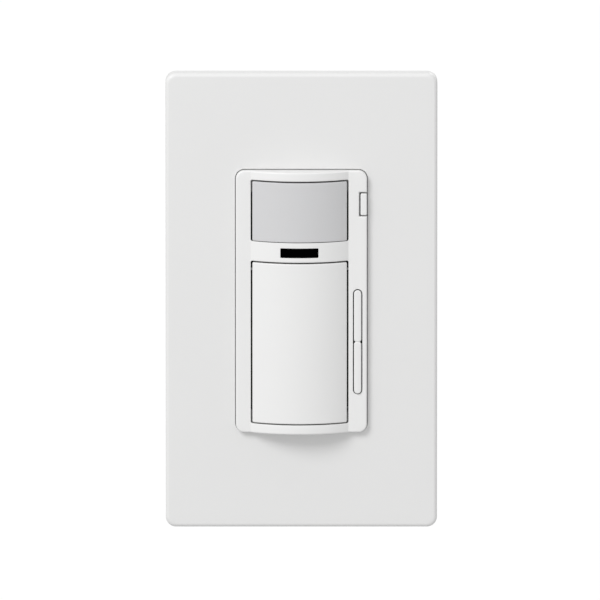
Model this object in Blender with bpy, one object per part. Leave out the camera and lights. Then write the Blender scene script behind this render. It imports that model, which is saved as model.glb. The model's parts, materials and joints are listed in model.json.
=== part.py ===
"""Motion-sensing wall dimmer with a clip-fitted screwless wallplate.

Metres, +Z up, the user stands at -Y. The origin is on the wall surface, at the middle of the plate:
what is in front of the wall has a negative y, and what sits in the wall box has a positive y.
"""

import math

import bmesh
import bpy
from mathutils import Matrix, Vector

MM = 0.001

# Driving dimensions
GAP = 0.2 * MM                # left between two pieces that touch
PLATE_WIDTH = 69.0 * MM
PLATE_HEIGHT = 116.5 * MM
PLATE_DEPTH = 5.5 * MM        # wall to the plate's flat front
PLATE_WALL = 1.5 * MM
PLATE_CORNER = 2.6 * MM
PLATE_ROUND = 1.0 * MM        # rounding from the front to the sides
INSERT_WIDTH = 33.3 * MM      # the standard rectangular insert
INSERT_HEIGHT = 67.2 * MM
INSERT_CORNER = 2.2 * MM
INSERT_CLEARANCE = 0.25 * MM  # bezel to the plate's opening
FACE_APEX = -11.4 * MM        # the bezel's face: a crown about a vertical axis between two flat cheeks
CHEEK_Y = -7.3 * MM
CROWN_MIDDLE = -0.45 * MM
CROWN_HALF = 12.4 * MM
FACE_STEPS = 16
BEZEL_SKIN = 1.3 * MM
BEZEL_WALL = 1.1 * MM
PLATE_SCREW_Z = 48.4 * MM     # half of the 96.8 mm between wallplate screws
BOX_SCREW_Z = 41.65 * MM      # half of the 83.3 mm between wall box screws
GROUND_Z = -38.4 * MM         # height of the earthing screw's tab
STRAP_THICK = 1.5 * MM
BOARD_THICK = 1.6 * MM
HOUSING_WIDTH = 42.8 * MM
HOUSING_HEIGHT = 67.0 * MM
HOUSING_BACK = 30.0 * MM
HOUSING_WALL = 1.6 * MM

# Windows in the bezel, as low and high edges
WINDOW_X = (-12.85 * MM, 11.95 * MM)
LENS_WINDOW_Z = (15.6 * MM, 31.35 * MM)
PAD_WINDOW_Z = (-31.2 * MM, 10.6 * MM)
INDICATOR_X = (-5.2 * MM, 4.2 * MM)
INDICATOR_Z = (11.9 * MM, 14.1 * MM)
ROCKER_X = 14.28 * MM
ROCKER_Z = -10.27 * MM
SLOT_HALF_WIDTH = 1.18 * MM
SLOT_HALF_LENGTH = 13.57 * MM
TAB_NOTCH_X = 14.7 * MM
TAB_NOTCH_Z = (21.9 * MM, 28.05 * MM)

# Joint axes
PAD_PIVOT = Vector((0, -5.9 * MM, 8.3 * MM))
ROCKER_PIVOT = Vector((ROCKER_X, -6.3 * MM, ROCKER_Z))

# Places worked out from the above
CROWN_RISE = CHEEK_Y - FACE_APEX
CROWN_RADIUS = (CROWN_HALF ** 2 + CROWN_RISE ** 2) / (2 * CROWN_RISE)
BEZEL_BACK = -STRAP_THICK - 0.3 * MM
CONTROL_FRONT = -4.4 * MM
CONTROL_BACK = CONTROL_FRONT + BOARD_THICK
POWER_FRONT = 12.0 * MM
POWER_BACK = POWER_FRONT + BOARD_THICK
BOSS_X = 13.2 * MM
BOSS_Z = 30.3 * MM
TERMINAL_Z = 12.5 * MM
TERMINAL_SCREW_Y = 9.4 * MM
TAIL_Y = POWER_BACK + GAP + 0.1 * MM
POCKET_FLOOR = 18.1 * MM      # x of the terminal pockets' floors
POCKET_Y = (5.0 * MM, 16.0 * MM)
RIVET = (-6.2 * MM, -26.4 * MM)
PAD_SWITCH = (-0.5 * MM, -15.0 * MM)
FOOT_REACH = 8.5 * MM         # rocker's pivot to each of its feet
BRIDGE_FRONT = 5.6 * MM
FUSE_X = 9.5 * MM
PLUNGER_STROKE = {"pad": 0.6 * MM, "raise": 0.1 * MM, "lower": 0.1 * MM}

FINISHES = {                   # colour, roughness, metallic
    "white_plastic": ((0.86, 0.86, 0.85), 0.35, 0.0),
    "lens_plastic": ((0.72, 0.72, 0.73), 0.45, 0.0),
    "smoked_window": ((0.01, 0.01, 0.012), 0.15, 0.0),
    "clear_plastic": ((0.8, 0.85, 0.85), 0.1, 0.0),
    "dark_plastic": ((0.05, 0.05, 0.055), 0.5, 0.0),
    "zinc_steel": ((0.62, 0.63, 0.65), 0.35, 1.0),
    "green_steel": ((0.05, 0.35, 0.12), 0.35, 0.6),
    "brass": ((0.78, 0.6, 0.28), 0.3, 1.0),
    "copper": ((0.75, 0.38, 0.2), 0.35, 1.0),
    "board_green": ((0.03, 0.22, 0.09), 0.4, 0.0),
    "ferrite": ((0.75, 0.62, 0.12), 0.6, 0.0),
    "cap_film": ((0.7, 0.12, 0.08), 0.35, 0.0),
    "cap_sleeve": ((0.06, 0.07, 0.2), 0.35, 0.0),
    "varistor_blue": ((0.06, 0.2, 0.5), 0.4, 0.0),
    "fibre": ((0.55, 0.4, 0.25), 0.8, 0.0),
    "silicone_grey": ((0.45, 0.46, 0.48), 0.7, 0.0),
}


# Shapes

def finish(name):
    """The Principled material of this finish, made when it is first asked for."""
    if name in bpy.data.materials:
        return bpy.data.materials[name]
    colour, roughness, metallic = FINISHES[name]
    material = bpy.data.materials.new(name)
    material.use_nodes = True
    shader = material.node_tree.nodes["Principled BSDF"]
    shader.inputs["Base Color"].default_value = (*colour, 1)
    shader.inputs["Roughness"].default_value = roughness
    shader.inputs["Metallic"].default_value = metallic
    return material


def solid(name, mesh_data, look=None):
    """An object from a bmesh. Without a look it is a helper that only cuts or joins."""
    bmesh.ops.recalc_face_normals(mesh_data, faces=mesh_data.faces)
    mesh = bpy.data.meshes.new(name)
    mesh_data.to_mesh(mesh)
    mesh_data.free()
    mesh.shade_smooth()
    mesh.set_sharp_from_angle(angle=math.radians(35))
    obj = bpy.data.objects.new(name, mesh)
    bpy.context.scene.collection.objects.link(obj)
    if look:
        mesh.materials.append(finish(look))
    else:
        obj.hide_render = True
        obj.display_type = "WIRE"
    return obj


def loft(name, rings, look=None):
    """A closed solid through rings of equally many points, with flat ends."""
    shape = bmesh.new()
    made = [[shape.verts.new(point) for point in ring] for ring in rings]
    for low, high in zip(made, made[1:]):
        for i in range(len(low)):
            j = (i + 1) % len(low)
            shape.faces.new((low[i], low[j], high[j], high[i]))
    shape.faces.new(made[0])
    shape.faces.new(made[-1])
    return solid(name, shape, look)


def on_axis(axis, a, b, along):
    """The point that lies at along on the axis, with a and b on the two other axes in x, y, z order."""
    return {"X": (along, a, b), "Y": (a, along, b), "Z": (a, b, along)}[axis]


def prism(name, outline, low, high, axis="Y", look=None):
    """A flat outline, drawn on the two other axes, extruded along an axis."""
    return loft(name, [[on_axis(axis, a, b, end) for a, b in outline] for end in (low, high)], look)


def box(name, x, y, z, look=None):
    """A box from its low and high edge on each axis."""
    return prism(name, [(x[0], z[0]), (x[1], z[0]), (x[1], z[1]), (x[0], z[1])], y[0], y[1], "Y", look)


def circle(radius, sides, centre=(0, 0)):
    """Points round a circle, starting half a step off the axis so that flats face the axes."""
    turns = [(i + 0.5) * math.tau / sides for i in range(sides)]
    return [(centre[0] + radius * math.cos(t), centre[1] + radius * math.sin(t)) for t in turns]


def rounded_rect(half_width, half_height, radius, steps=4, centre=(0, 0)):
    """A rectangle with round corners, anticlockwise from the right side."""
    points = []
    for quarter in range(4):
        sign_x = 1 if quarter in (0, 3) else -1
        sign_z = 1 if quarter in (0, 1) else -1
        for i in range(steps + 1):
            t = (quarter + i / steps) * math.pi / 2
            points.append((
                centre[0] + sign_x * (half_width - radius) + radius * math.cos(t),
                centre[1] + sign_z * (half_height - radius) + radius * math.sin(t),
            ))
    return points


def pill(half_width, half_length, centre, steps=8):
    """A slot outline with half-round ends, its length along z."""
    return rounded_rect(half_width, half_length, half_width * 0.999, steps // 2, centre)


def cylinder(name, centre, radius, low, high, axis="Y", sides=16, look=None):
    """A round bar along an axis, centred on the two other coordinates."""
    return prism(name, circle(radius, sides, centre), low, high, axis, look)


def turned(name, profile, centre, axis, sides, look=None):
    """A solid of revolution from (radius, place along the axis) pairs, its ends flat."""
    rings = [[on_axis(axis, *p, along) for p in circle(radius, sides, centre)] for radius, along in profile]
    return loft(name, rings, look)


def face_y(x, inset=0.0):
    """The bezel's face at x, or the surface that lies inset behind it."""
    across = x - CROWN_MIDDLE
    crown = FACE_APEX + CROWN_RADIUS - math.sqrt(max((CROWN_RADIUS - inset) ** 2 - across ** 2, 0))
    return min(crown, CHEEK_Y + inset)


def face_arc(x, inset, steps):
    """Points (x, y) along the face between two places: the crown in steps, a flat cheek in one."""
    half = math.sqrt(2 * CROWN_RISE * (CROWN_RADIUS - inset) - CROWN_RISE ** 2)
    low, high = max(x[0], CROWN_MIDDLE - half), min(x[1], CROWN_MIDDLE + half)
    places = {x[0], x[1]}
    if low < high:
        places.update(low + (high - low) * i / steps for i in range(steps + 1))
    return [(place, face_y(place, inset)) for place in sorted(places)]


def face_block(name, x, z, back, inset=0.0, look=None, steps=FACE_STEPS):
    """A block whose front follows the face and whose back is flat."""
    outline = face_arc(x, inset, steps) + [(x[1], back), (x[0], back)]
    return prism(name, outline, z[0], z[1], "Z", look)


def face_tray(name, x, z, skin, wall, back, look):
    """A shallow tray that follows the face, open at the back."""
    tray = face_block(name, x, z, back, 0, look)
    pocket_x = (x[0] + wall, x[1] - wall)
    pocket_z = (z[0] + wall, z[1] - wall)
    cut(tray, face_block(name + "_pocket", pocket_x, pocket_z, back + 1 * MM, skin))
    return tray


def combine(body, tools, operation):
    for tool in tools:
        step = body.modifiers.new(operation.title() + " " + tool.name, "BOOLEAN")
        step.operation = operation
        step.solver = "EXACT"
        step.object = tool


def cut(body, *tools):
    combine(body, tools, "DIFFERENCE")


def add(body, *tools):
    combine(body, tools, "UNION")


def keep(body, *tools):
    combine(body, tools, "INTERSECT")


def put_origin(obj, point):
    """Moves an object's origin onto its joint's axis and leaves the shape where it is."""
    obj.data.transform(Matrix.Translation(-Vector(point)))
    obj.location = point


def grown(span, by):
    return (span[0] - by, span[1] + by)


# Wallplate

def wallplate_cover():
    """The pull-off front: a shallow shell with rounded edges and the insert's opening."""
    half_w, half_h = PLATE_WIDTH / 2, PLATE_HEIGHT / 2
    sections = [(0, 0.0), (0, -(PLATE_DEPTH - PLATE_ROUND))]
    round_steps = 3
    for i in range(1, round_steps + 1):
        t = i / round_steps * math.pi / 2
        sections.append((PLATE_ROUND * (1 - math.cos(t)), -(PLATE_DEPTH - PLATE_ROUND * (1 - math.sin(t)))))
    rings = []
    for inset, y in sections:
        outline = rounded_rect(half_w - inset, half_h - inset, PLATE_CORNER - inset)
        rings.append([(x, y, z) for x, z in outline])
    cover = loft("wallplate_cover", rings, "white_plastic")
    hollow = rounded_rect(half_w - PLATE_WALL, half_h - PLATE_WALL, PLATE_CORNER - PLATE_WALL + 0.4 * MM)
    cut(cover, prism("cover_hollow", hollow, -(PLATE_DEPTH - PLATE_WALL), 1 * MM))
    opening = rounded_rect(
        INSERT_WIDTH / 2 + INSERT_CLEARANCE,
        INSERT_HEIGHT / 2 + INSERT_CLEARANCE,
        INSERT_CORNER + INSERT_CLEARANCE,
    )
    cut(cover, prism("cover_opening", opening, -PLATE_DEPTH - 1 * MM, 1 * MM))
    pry_notch = box("cover_pry_notch", (-4 * MM, 4 * MM), (-1.2 * MM, 1 * MM),
                    (-half_h - 1 * MM, -half_h + 2.5 * MM))
    cut(cover, pry_notch)


def wallplate_subplate():
    """The inner plate, screwed to the strap, that the cover clips onto."""
    half_w = PLATE_WIDTH / 2 - PLATE_WALL - 0.6 * MM
    half_h = PLATE_HEIGHT / 2 - PLATE_WALL - 0.6 * MM
    front = -(PLATE_DEPTH - PLATE_WALL) + GAP
    back = BEZEL_BACK
    rim = 1.4 * MM
    plate = prism("wallplate_subplate", rounded_rect(half_w, half_h, 1.6 * MM, 3), front, 0,
                  look="white_plastic")
    cut(plate, prism("subplate_hollow", rounded_rect(half_w - rim, half_h - rim, 0.8 * MM, 2), back,
                     1 * MM))
    window = rounded_rect(INSERT_WIDTH / 2 + 0.7 * MM, INSERT_HEIGHT / 2 + 0.7 * MM, 2.6 * MM, 3)
    cut(plate, prism("subplate_window", window, front - 1 * MM, 1 * MM))
    for sign in (-1, 1):
        notch = pill(3.6 * MM, 7.0 * MM, (0, sign * (45.1 * MM - 7.0 * MM)), 8)
        cut(plate, prism(f"subplate_notch_{sign}", notch, front - 1 * MM, 1 * MM))
        profile = [(3.6 * MM, front - 0.65 * MM), (2.0 * MM, front + 1.3 * MM), (2.0 * MM, 1 * MM)]
        cut(plate, turned(f"subplate_sink_{sign}", profile, (0, sign * PLATE_SCREW_Z), "Y", 16))


def plate_screws():
    """Flat-headed screws that hold the inner plate on the strap."""
    front = -(PLATE_DEPTH - PLATE_WALL) + GAP
    for name, sign in (("plate_screw_top", 1), ("plate_screw_bottom", -1)):
        profile = [(2.75 * MM, front + 0.1 * MM), (1.6 * MM, front + 1.4 * MM), (1.6 * MM, 9 * MM)]
        screw = turned(name, profile, (0, sign * PLATE_SCREW_Z), "Y", 16, "zinc_steel")
        z = sign * PLATE_SCREW_Z
        slot = box(name + "_slot", (-4 * MM, 4 * MM), (front - 1 * MM, front + 0.7 * MM),
                   (z - 0.45 * MM, z + 0.45 * MM))
        cut(screw, slot)


# Strap and its screws

def mounting_strap():
    """The metal yoke: it fixes the device to the wall box and cools the power transistor."""
    upper = [(22, 0), (22, 35.2), (10.5, 37.2), (10.5, 44.6), (20.2, 45.6), (20.2, 51.4), (18.6, 53)]
    right = [(x, -z) for x, z in reversed(upper[1:])] + upper
    outline = [(x * MM, z * MM) for x, z in right] + [(-x * MM, z * MM) for x, z in reversed(right)]
    strap = prism("mounting_strap", outline, -STRAP_THICK, 0, look="zinc_steel")
    cut(strap, box("strap_opening", (-14.8 * MM, 14.8 * MM), (-3 * MM, 2 * MM), (-20.5 * MM, 27 * MM)))
    tab_z = grown((GROUND_Z, GROUND_Z), 4.0 * MM)
    add(strap, box("strap_ground_tab", (-11.6 * MM, -10.1 * MM), (-STRAP_THICK, 8 * MM), tab_z))
    cut(strap, cylinder("strap_ground_hole", (4 * MM, GROUND_Z), 2.0 * MM, -13 * MM, -9 * MM, "X"))
    for sign in (-1, 1):
        slot = rounded_rect(3.6 * MM, 2.05 * MM, 2.04 * MM, 3, (0, sign * BOX_SCREW_Z))
        cut(strap, prism(f"strap_slot_{sign}", slot, -3 * MM, 2 * MM))
        cut(strap, cylinder(f"strap_plate_hole_{sign}", (0, sign * PLATE_SCREW_Z), 1.9 * MM, -3 * MM,
                            2 * MM))
        for side in (-1, 1):
            score = box(
                f"strap_score_{sign}_{side}",
                (side * 11.6 * MM - 0.4 * MM, side * 11.6 * MM + 0.4 * MM),
                (-STRAP_THICK - 1 * MM, -STRAP_THICK + 0.5 * MM),
                grown((sign * 49.2 * MM, sign * 49.2 * MM), 6 * MM),
            )
            cut(strap, score)
            where = (side * BOSS_X, sign * BOSS_Z)
            cut(strap, cylinder(f"strap_boss_hole_{sign}_{side}", where, 1.6 * MM, -3 * MM, 2 * MM, sides=12))
    cut(strap, cylinder("strap_rivet_hole", RIVET, 1.5 * MM, -3 * MM, 2 * MM, sides=12))


def box_screws():
    """Round-headed screws for the wall box, each kept on the strap by a fibre square."""
    for name, sign in (("top", 1), ("bottom", -1)):
        z = sign * BOX_SCREW_Z
        under_head = -STRAP_THICK - GAP
        profile = [(2.1 * MM, under_head - 1.8 * MM), (3.2 * MM, under_head - 1.1 * MM),
                   (3.2 * MM, under_head), (1.65 * MM, under_head),
                   (1.65 * MM, 16.6 * MM), (1.0 * MM, 17.4 * MM)]
        screw = turned("box_screw_" + name, profile, (0, z), "Y", 16, "zinc_steel")
        cross = ((4 * MM, 0.4 * MM), (0.4 * MM, 1.9 * MM))
        for i, (half_x, half_z) in enumerate(cross):
            bar = box(
                f"box_screw_{name}_bar_{i}", (-half_x, half_x),
                (under_head - 3 * MM, under_head - 0.8 * MM), (z - half_z, z + half_z),
            )
            cut(screw, bar)
        keeper = box("screw_retainer_" + name, (-4 * MM, 4 * MM), (GAP, GAP + 0.8 * MM),
                     (z - 4 * MM, z + 4 * MM), "fibre")
        cut(keeper, cylinder(f"retainer_hole_{name}", (0, z), 1.85 * MM, -1 * MM, 3 * MM, sides=12))


def ground_screw():
    """The green earthing screw on the strap's bent tab."""
    seat = -11.6 * MM - GAP
    profile = [(2.6 * MM, seat - 1.7 * MM), (3.2 * MM, seat - 1.3 * MM), (3.2 * MM, seat),
               (1.65 * MM, seat), (1.65 * MM, -5.5 * MM)]
    screw = turned("ground_screw", profile, (4 * MM, GROUND_Z), "X", 16, "green_steel")
    slot_z = grown((GROUND_Z, GROUND_Z), 4.5 * MM)
    cut(screw, box("ground_screw_slot", (seat - 3 * MM, seat - 0.8 * MM), (3.6 * MM, 4.4 * MM), slot_z))


# Bezel and what shows in it

def front_bezel():
    """The white front frame that stands out through the plate, with windows for lens, pad and rocker."""
    half_w, half_h = INSERT_WIDTH / 2, INSERT_HEIGHT / 2
    bezel = face_block("front_bezel", (-half_w, half_w), (-half_h, half_h), BEZEL_BACK, 0, "white_plastic")
    corners = rounded_rect(half_w + 0.01 * MM, half_h - 0.01 * MM, INSERT_CORNER)
    keep(bezel, prism("bezel_corners", corners, -20 * MM, 5 * MM))
    inner_x = (-half_w + BEZEL_WALL, half_w - BEZEL_WALL)
    inner_z = (-half_h + BEZEL_WALL, half_h - BEZEL_WALL)
    cut(bezel, face_block("bezel_hollow", inner_x, inner_z, 1 * MM, BEZEL_SKIN))
    windows = (
        ("lens_window", WINDOW_X, LENS_WINDOW_Z),
        ("pad_window", WINDOW_X, PAD_WINDOW_Z),
        ("indicator_opening", grown(INDICATOR_X, 0.15 * MM), grown(INDICATOR_Z, 0.15 * MM)),
    )
    for name, x, z in windows:
        cut(bezel, box(name, x, (-15 * MM, -5.5 * MM), z))
    slot = pill(SLOT_HALF_WIDTH, SLOT_HALF_LENGTH, (ROCKER_X, ROCKER_Z))
    cut(bezel, prism("rocker_slot", slot, -15 * MM, -5.5 * MM))
    cut(bezel, box("tab_notch", (TAB_NOTCH_X, 20 * MM), (-15 * MM, 1 * MM), TAB_NOTCH_Z))
    for sign in (-1, 1):
        for side in (-1, 1):
            where = (side * BOSS_X, sign * BOSS_Z)
            add(bezel, cylinder(f"bezel_boss_{sign}_{side}", where, 2.5 * MM, -5.3 * MM, BEZEL_BACK,
                                sides=12))
    for sign in (-1, 1):
        for side in (-1, 1):
            where = (side * BOSS_X, sign * BOSS_Z)
            cut(bezel, cylinder(f"bezel_boss_hole_{sign}_{side}", where, 1.45 * MM, -5.0 * MM, 1 * MM,
                                sides=12))
    y, z = PAD_PIVOT.y, PAD_PIVOT.z
    for name, x in (("left", (-14.4 * MM, -12.95 * MM)), ("right", (12.05 * MM, 13.5 * MM))):
        add(bezel, box(f"pad_bearing_{name}", x, (-7.0 * MM, y + 1.25 * MM), (z - 1.6 * MM, z + 1.6 * MM)))
        cut(bezel, cylinder(f"pad_bearing_hole_{name}", (y, z), 1.0 * MM, x[0] - 0.3 * MM, x[1] + 0.3 * MM,
                            "X", 12))
    y, z = ROCKER_PIVOT.y, ROCKER_PIVOT.z
    bearing = box("rocker_bearing", (12.05 * MM, 13.05 * MM), (-7.0 * MM, y + 1.0 * MM),
                  (z - 1.3 * MM, z + 1.3 * MM))
    add(bezel, bearing)
    cut(bezel, cylinder("rocker_pin_hole", (y, z), 0.65 * MM, 11.9 * MM, 16.0 * MM, "X", 12))


def sensor_lens():
    """The milky window in front of the motion sensor."""
    x = grown(WINDOW_X, -0.4 * MM)
    z = (LENS_WINDOW_Z[0] + 0.15 * MM, LENS_WINDOW_Z[1] - 0.4 * MM)
    face_tray("sensor_lens", x, z, 1.1 * MM, 1.0 * MM, -6.6 * MM, "lens_plastic")


def indicator():
    """The smoked bar with the light pipe, lamp and daylight cell behind it."""
    face_block("indicator_window", INDICATOR_X, INDICATOR_Z, -10.2 * MM, 0.05 * MM, "smoked_window", 8)
    low, high = INDICATOR_Z[0] + 0.3 * MM, INDICATOR_Z[1] - 0.3 * MM
    box("indicator_light_pipe", (-3.6 * MM, -1.6 * MM), (-10.0 * MM, -5.9 * MM), (low, high),
        "clear_plastic")
    lamp_front = -5.7 * MM
    box("indicator_lamp", (-3.6 * MM, -1.6 * MM), (lamp_front, CONTROL_FRONT - GAP), (low, high),
        "clear_plastic")
    box("daylight_cell", (0.4 * MM, 2.4 * MM), (lamp_front, CONTROL_FRONT - GAP), (low, high),
        "smoked_window")


def motion_sensor():
    """A metal-canned infrared detector on a spacer, with its dark filter window."""
    centre = (-0.5 * MM, 23.3 * MM)
    spacer_top = CONTROL_FRONT - GAP - 1.2 * MM
    cylinder("sensor_spacer", centre, 4.4 * MM, spacer_top, CONTROL_FRONT - GAP, sides=20,
             look="dark_plastic")
    base = spacer_top - GAP
    cap = -9.2 * MM
    profile = [(3.7 * MM, cap), (4.05 * MM, cap + 0.35 * MM), (4.05 * MM, base - 0.6 * MM),
               (4.6 * MM, base - 0.6 * MM), (4.6 * MM, base)]
    can = turned("motion_sensor_can", profile, centre, "Y", 20, "zinc_steel")
    half_x, half_z = 2.4 * MM, 1.8 * MM
    x = (centre[0] - half_x, centre[0] + half_x)
    z = (centre[1] - half_z, centre[1] + half_z)
    cut(can, box("sensor_filter_seat", grown(x, GAP), (cap - 1 * MM, cap + 0.55 * MM), grown(z, GAP)))
    box("motion_sensor_filter", x, (cap + 0.05 * MM, cap + 0.35 * MM), z, "smoked_window")


# Push pad

def push_pad():
    """The large on and off pad. It turns on two stub pins at its top edge."""
    x = grown(WINDOW_X, -0.4 * MM)
    z = (PAD_WINDOW_Z[0] + 0.3 * MM, PAD_WINDOW_Z[1] - 0.4 * MM)
    back = -6.6 * MM
    pad = face_tray("push_pad", x, z, 1.6 * MM, 1.2 * MM, back, "white_plastic")
    pivot_z = PAD_PIVOT.z
    for name, side, reach in (("left", x[0], -1), ("right", x[1], 1)):
        lug_x = sorted((side, side - reach * 1.2 * MM))
        lug = box(f"pad_lug_{name}", lug_x, (back - 0.5 * MM, PAD_PIVOT.y + 1.0 * MM),
                  (pivot_z - 1.2 * MM, pivot_z + 1.2 * MM))
        stub_x = sorted((side - reach * 0.6 * MM, side + reach * 1.7 * MM))
        stub = cylinder(f"pad_stub_{name}", (PAD_PIVOT.y, pivot_z), 0.8 * MM, stub_x[0], stub_x[1], "X", 12)
        add(pad, lug, stub)
    post = (PAD_SWITCH[0], PAD_SWITCH[1])
    add(pad, cylinder("pad_post", post, 1.3 * MM, -10.5 * MM, -9.1 * MM, sides=12))
    put_origin(pad, PAD_PIVOT)


def push_button_switch(name, centre, body, plunger_radius, top):
    """A push switch on the control board: a body with a well, and the plunger that slides in it.

    body is its half width, half height and front; top is the plunger's end.
    """
    half_x, half_z, front = body
    x = (centre[0] - half_x, centre[0] + half_x)
    z = (centre[1] - half_z, centre[1] + half_z)
    case = box(name + "_switch_body", x, (front, CONTROL_FRONT - GAP), z, "dark_plastic")
    well_floor = CONTROL_FRONT - 0.5 * MM
    cut(case, cylinder(name + "_switch_well", centre, plunger_radius + 0.2 * MM, front - 1 * MM,
                       well_floor, sides=16))
    plunger = cylinder(
        name + "_switch_plunger", centre, plunger_radius, top, well_floor - 0.35 * MM - PLUNGER_STROKE[name],
        sides=16, look="dark_plastic",
    )
    put_origin(plunger, (centre[0], top, centre[1]))


# Dimmer rocker

def dimmer_rocker():
    """The narrow raise and lower bar: it tips on a pin at its waist."""
    x, y, z = ROCKER_PIVOT
    half_w, half_l = SLOT_HALF_WIDTH - 0.25 * MM, SLOT_HALF_LENGTH - 0.32 * MM
    front = CHEEK_Y - 0.55 * MM
    back = CHEEK_Y + 0.4 * MM
    rocker = prism("dimmer_rocker", pill(half_w, half_l, (x, z)), front, back, look="white_plastic")
    add(rocker, box("rocker_hub", (x - half_w, x + half_w), (CHEEK_Y, y + 0.9 * MM),
                    (z - 1.5 * MM, z + 1.5 * MM)))
    for name, sign in (("raise", 1), ("lower", -1)):
        foot_z = z + sign * FOOT_REACH
        leg_z = (foot_z - 1 * MM, foot_z + 1 * MM)
        add(rocker, box(f"rocker_leg_{name}", (x - half_w, x + half_w), (CHEEK_Y, back + 0.4 * MM), leg_z))
    for side in (-1, 1):
        edge = x + side * half_w
        nick = [(edge, z - 0.5 * MM), (edge + side * 1 * MM, z - 1.5 * MM),
                (edge + side * 1 * MM, z + 1.5 * MM), (edge, z + 0.5 * MM), (edge - side * 0.28 * MM, z)]
        cut(rocker, prism(f"rocker_nick_{side}", nick, -12 * MM, back - 0.1 * MM))
    crease = [(front - 1 * MM, z - 1.2 * MM), (front + 0.18 * MM, z), (front - 1 * MM, z + 1.2 * MM)]
    cut(rocker, prism("rocker_crease", crease, x - 3 * MM, x + 3 * MM, "X"))
    cut(rocker, cylinder("rocker_pin_bore", (y, z), 0.65 * MM, x - 3 * MM, x + 3 * MM, "X", 12))
    put_origin(rocker, ROCKER_PIVOT)
    cylinder("rocker_pin", (y, z), 0.5 * MM, 12.15 * MM, 15.85 * MM, "X", 12, "zinc_steel")


# Air-gap disconnect

def air_gap_switch():
    """The pull-out tab at the bezel's edge. Its stem carries a bridge off two fixed contacts."""
    z = grown(TAB_NOTCH_Z, -0.3 * MM)
    x = (TAB_NOTCH_X + 0.3 * MM, INSERT_WIDTH / 2 - 0.05 * MM)
    tab = face_block("air_gap_tab", x, z, -2.2 * MM, -0.15 * MM, "white_plastic", 4)
    arm = box("tab_arm", (12.7 * MM, 15.6 * MM), (-3.3 * MM, -2.0 * MM), (22.3 * MM, 26.5 * MM))
    stem = box("tab_stem", (12.75 * MM, 14.4 * MM), (-3.2 * MM, BRIDGE_FRONT - GAP),
               (22.35 * MM, 24.3 * MM))
    add(tab, arm, stem)
    put_origin(tab, ((x[0] + x[1]) / 2, -2.2 * MM, (z[0] + z[1]) / 2))
    contact_x = (12.8 * MM, 14.3 * MM)
    bridge = box("air_gap_bridge", contact_x, (BRIDGE_FRONT, BRIDGE_FRONT + 0.7 * MM),
                 (19.6 * MM, 26.4 * MM), "copper")
    put_origin(bridge, (13.55 * MM, BRIDGE_FRONT, 23.0 * MM))
    for name, low in (("upper", 24.5 * MM), ("lower", 19.8 * MM)):
        post_y = (BRIDGE_FRONT + 0.7 * MM + GAP, POWER_FRONT - GAP)
        box(f"air_gap_contact_{name}", contact_x, post_y, (low, low + 1.7 * MM), "copper")


# Boards and what they carry

def board(name, half_width, half_height, notch, front, extra=()):
    """A circuit board with its four corners cut away for the screw bosses."""
    notch_x, notch_z = notch
    corner = [(half_width, notch_z), (notch_x, notch_z), (notch_x, half_height)]
    outline = []
    for sign_x, sign_z in ((1, 1), (-1, 1), (-1, -1), (1, -1)):
        points = [(sign_x * a, sign_z * b) for a, b in corner]
        outline += points if sign_x * sign_z > 0 else points[::-1]
    body = prism(name, outline, front, front + BOARD_THICK, look="board_green")
    for tool in extra:
        cut(body, tool)


def boards():
    tab_clearance = box("board_tab_notch", (12.2 * MM, 20 * MM), (-8 * MM, 0), (21.4 * MM, 32 * MM))
    board("control_board", 14.9 * MM, 31.0 * MM, (10.3 * MM, 27.3 * MM), CONTROL_FRONT, [tab_clearance])
    board("power_board", 16.4 * MM, 31.0 * MM, (9.2 * MM, 26.3 * MM), POWER_FRONT)
    box("microcontroller", (-7.5 * MM, -0.5 * MM), (CONTROL_FRONT - GAP - 1.0 * MM, CONTROL_FRONT - GAP),
        (-3.5 * MM, 3.5 * MM), "dark_plastic")


def board_header():
    """Six pins in two plastic strips, which join the two boards."""
    x, pitch, count = -11.5 * MM, 2.54 * MM, 6
    half_length = count * pitch / 2
    header = box("board_header", (x - 1.25 * MM, x + 1.25 * MM),
                 (POWER_FRONT - GAP - 2.5 * MM, POWER_FRONT - GAP),
                 (-half_length, half_length), "dark_plastic")
    add(header, box("header_socket", (x - 1.25 * MM, x + 1.25 * MM),
                    (CONTROL_BACK + GAP, CONTROL_BACK + 2.4 * MM),
                    (-half_length, half_length)))
    for i in range(count):
        z = (i - (count - 1) / 2) * pitch
        pin = box(f"header_pin_{i}", (x - 0.32 * MM, x + 0.32 * MM),
                  (CONTROL_BACK + 1.5 * MM, POWER_FRONT - 1.5 * MM),
                  (z - 0.32 * MM, z + 0.32 * MM))
        add(header, pin)


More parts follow.
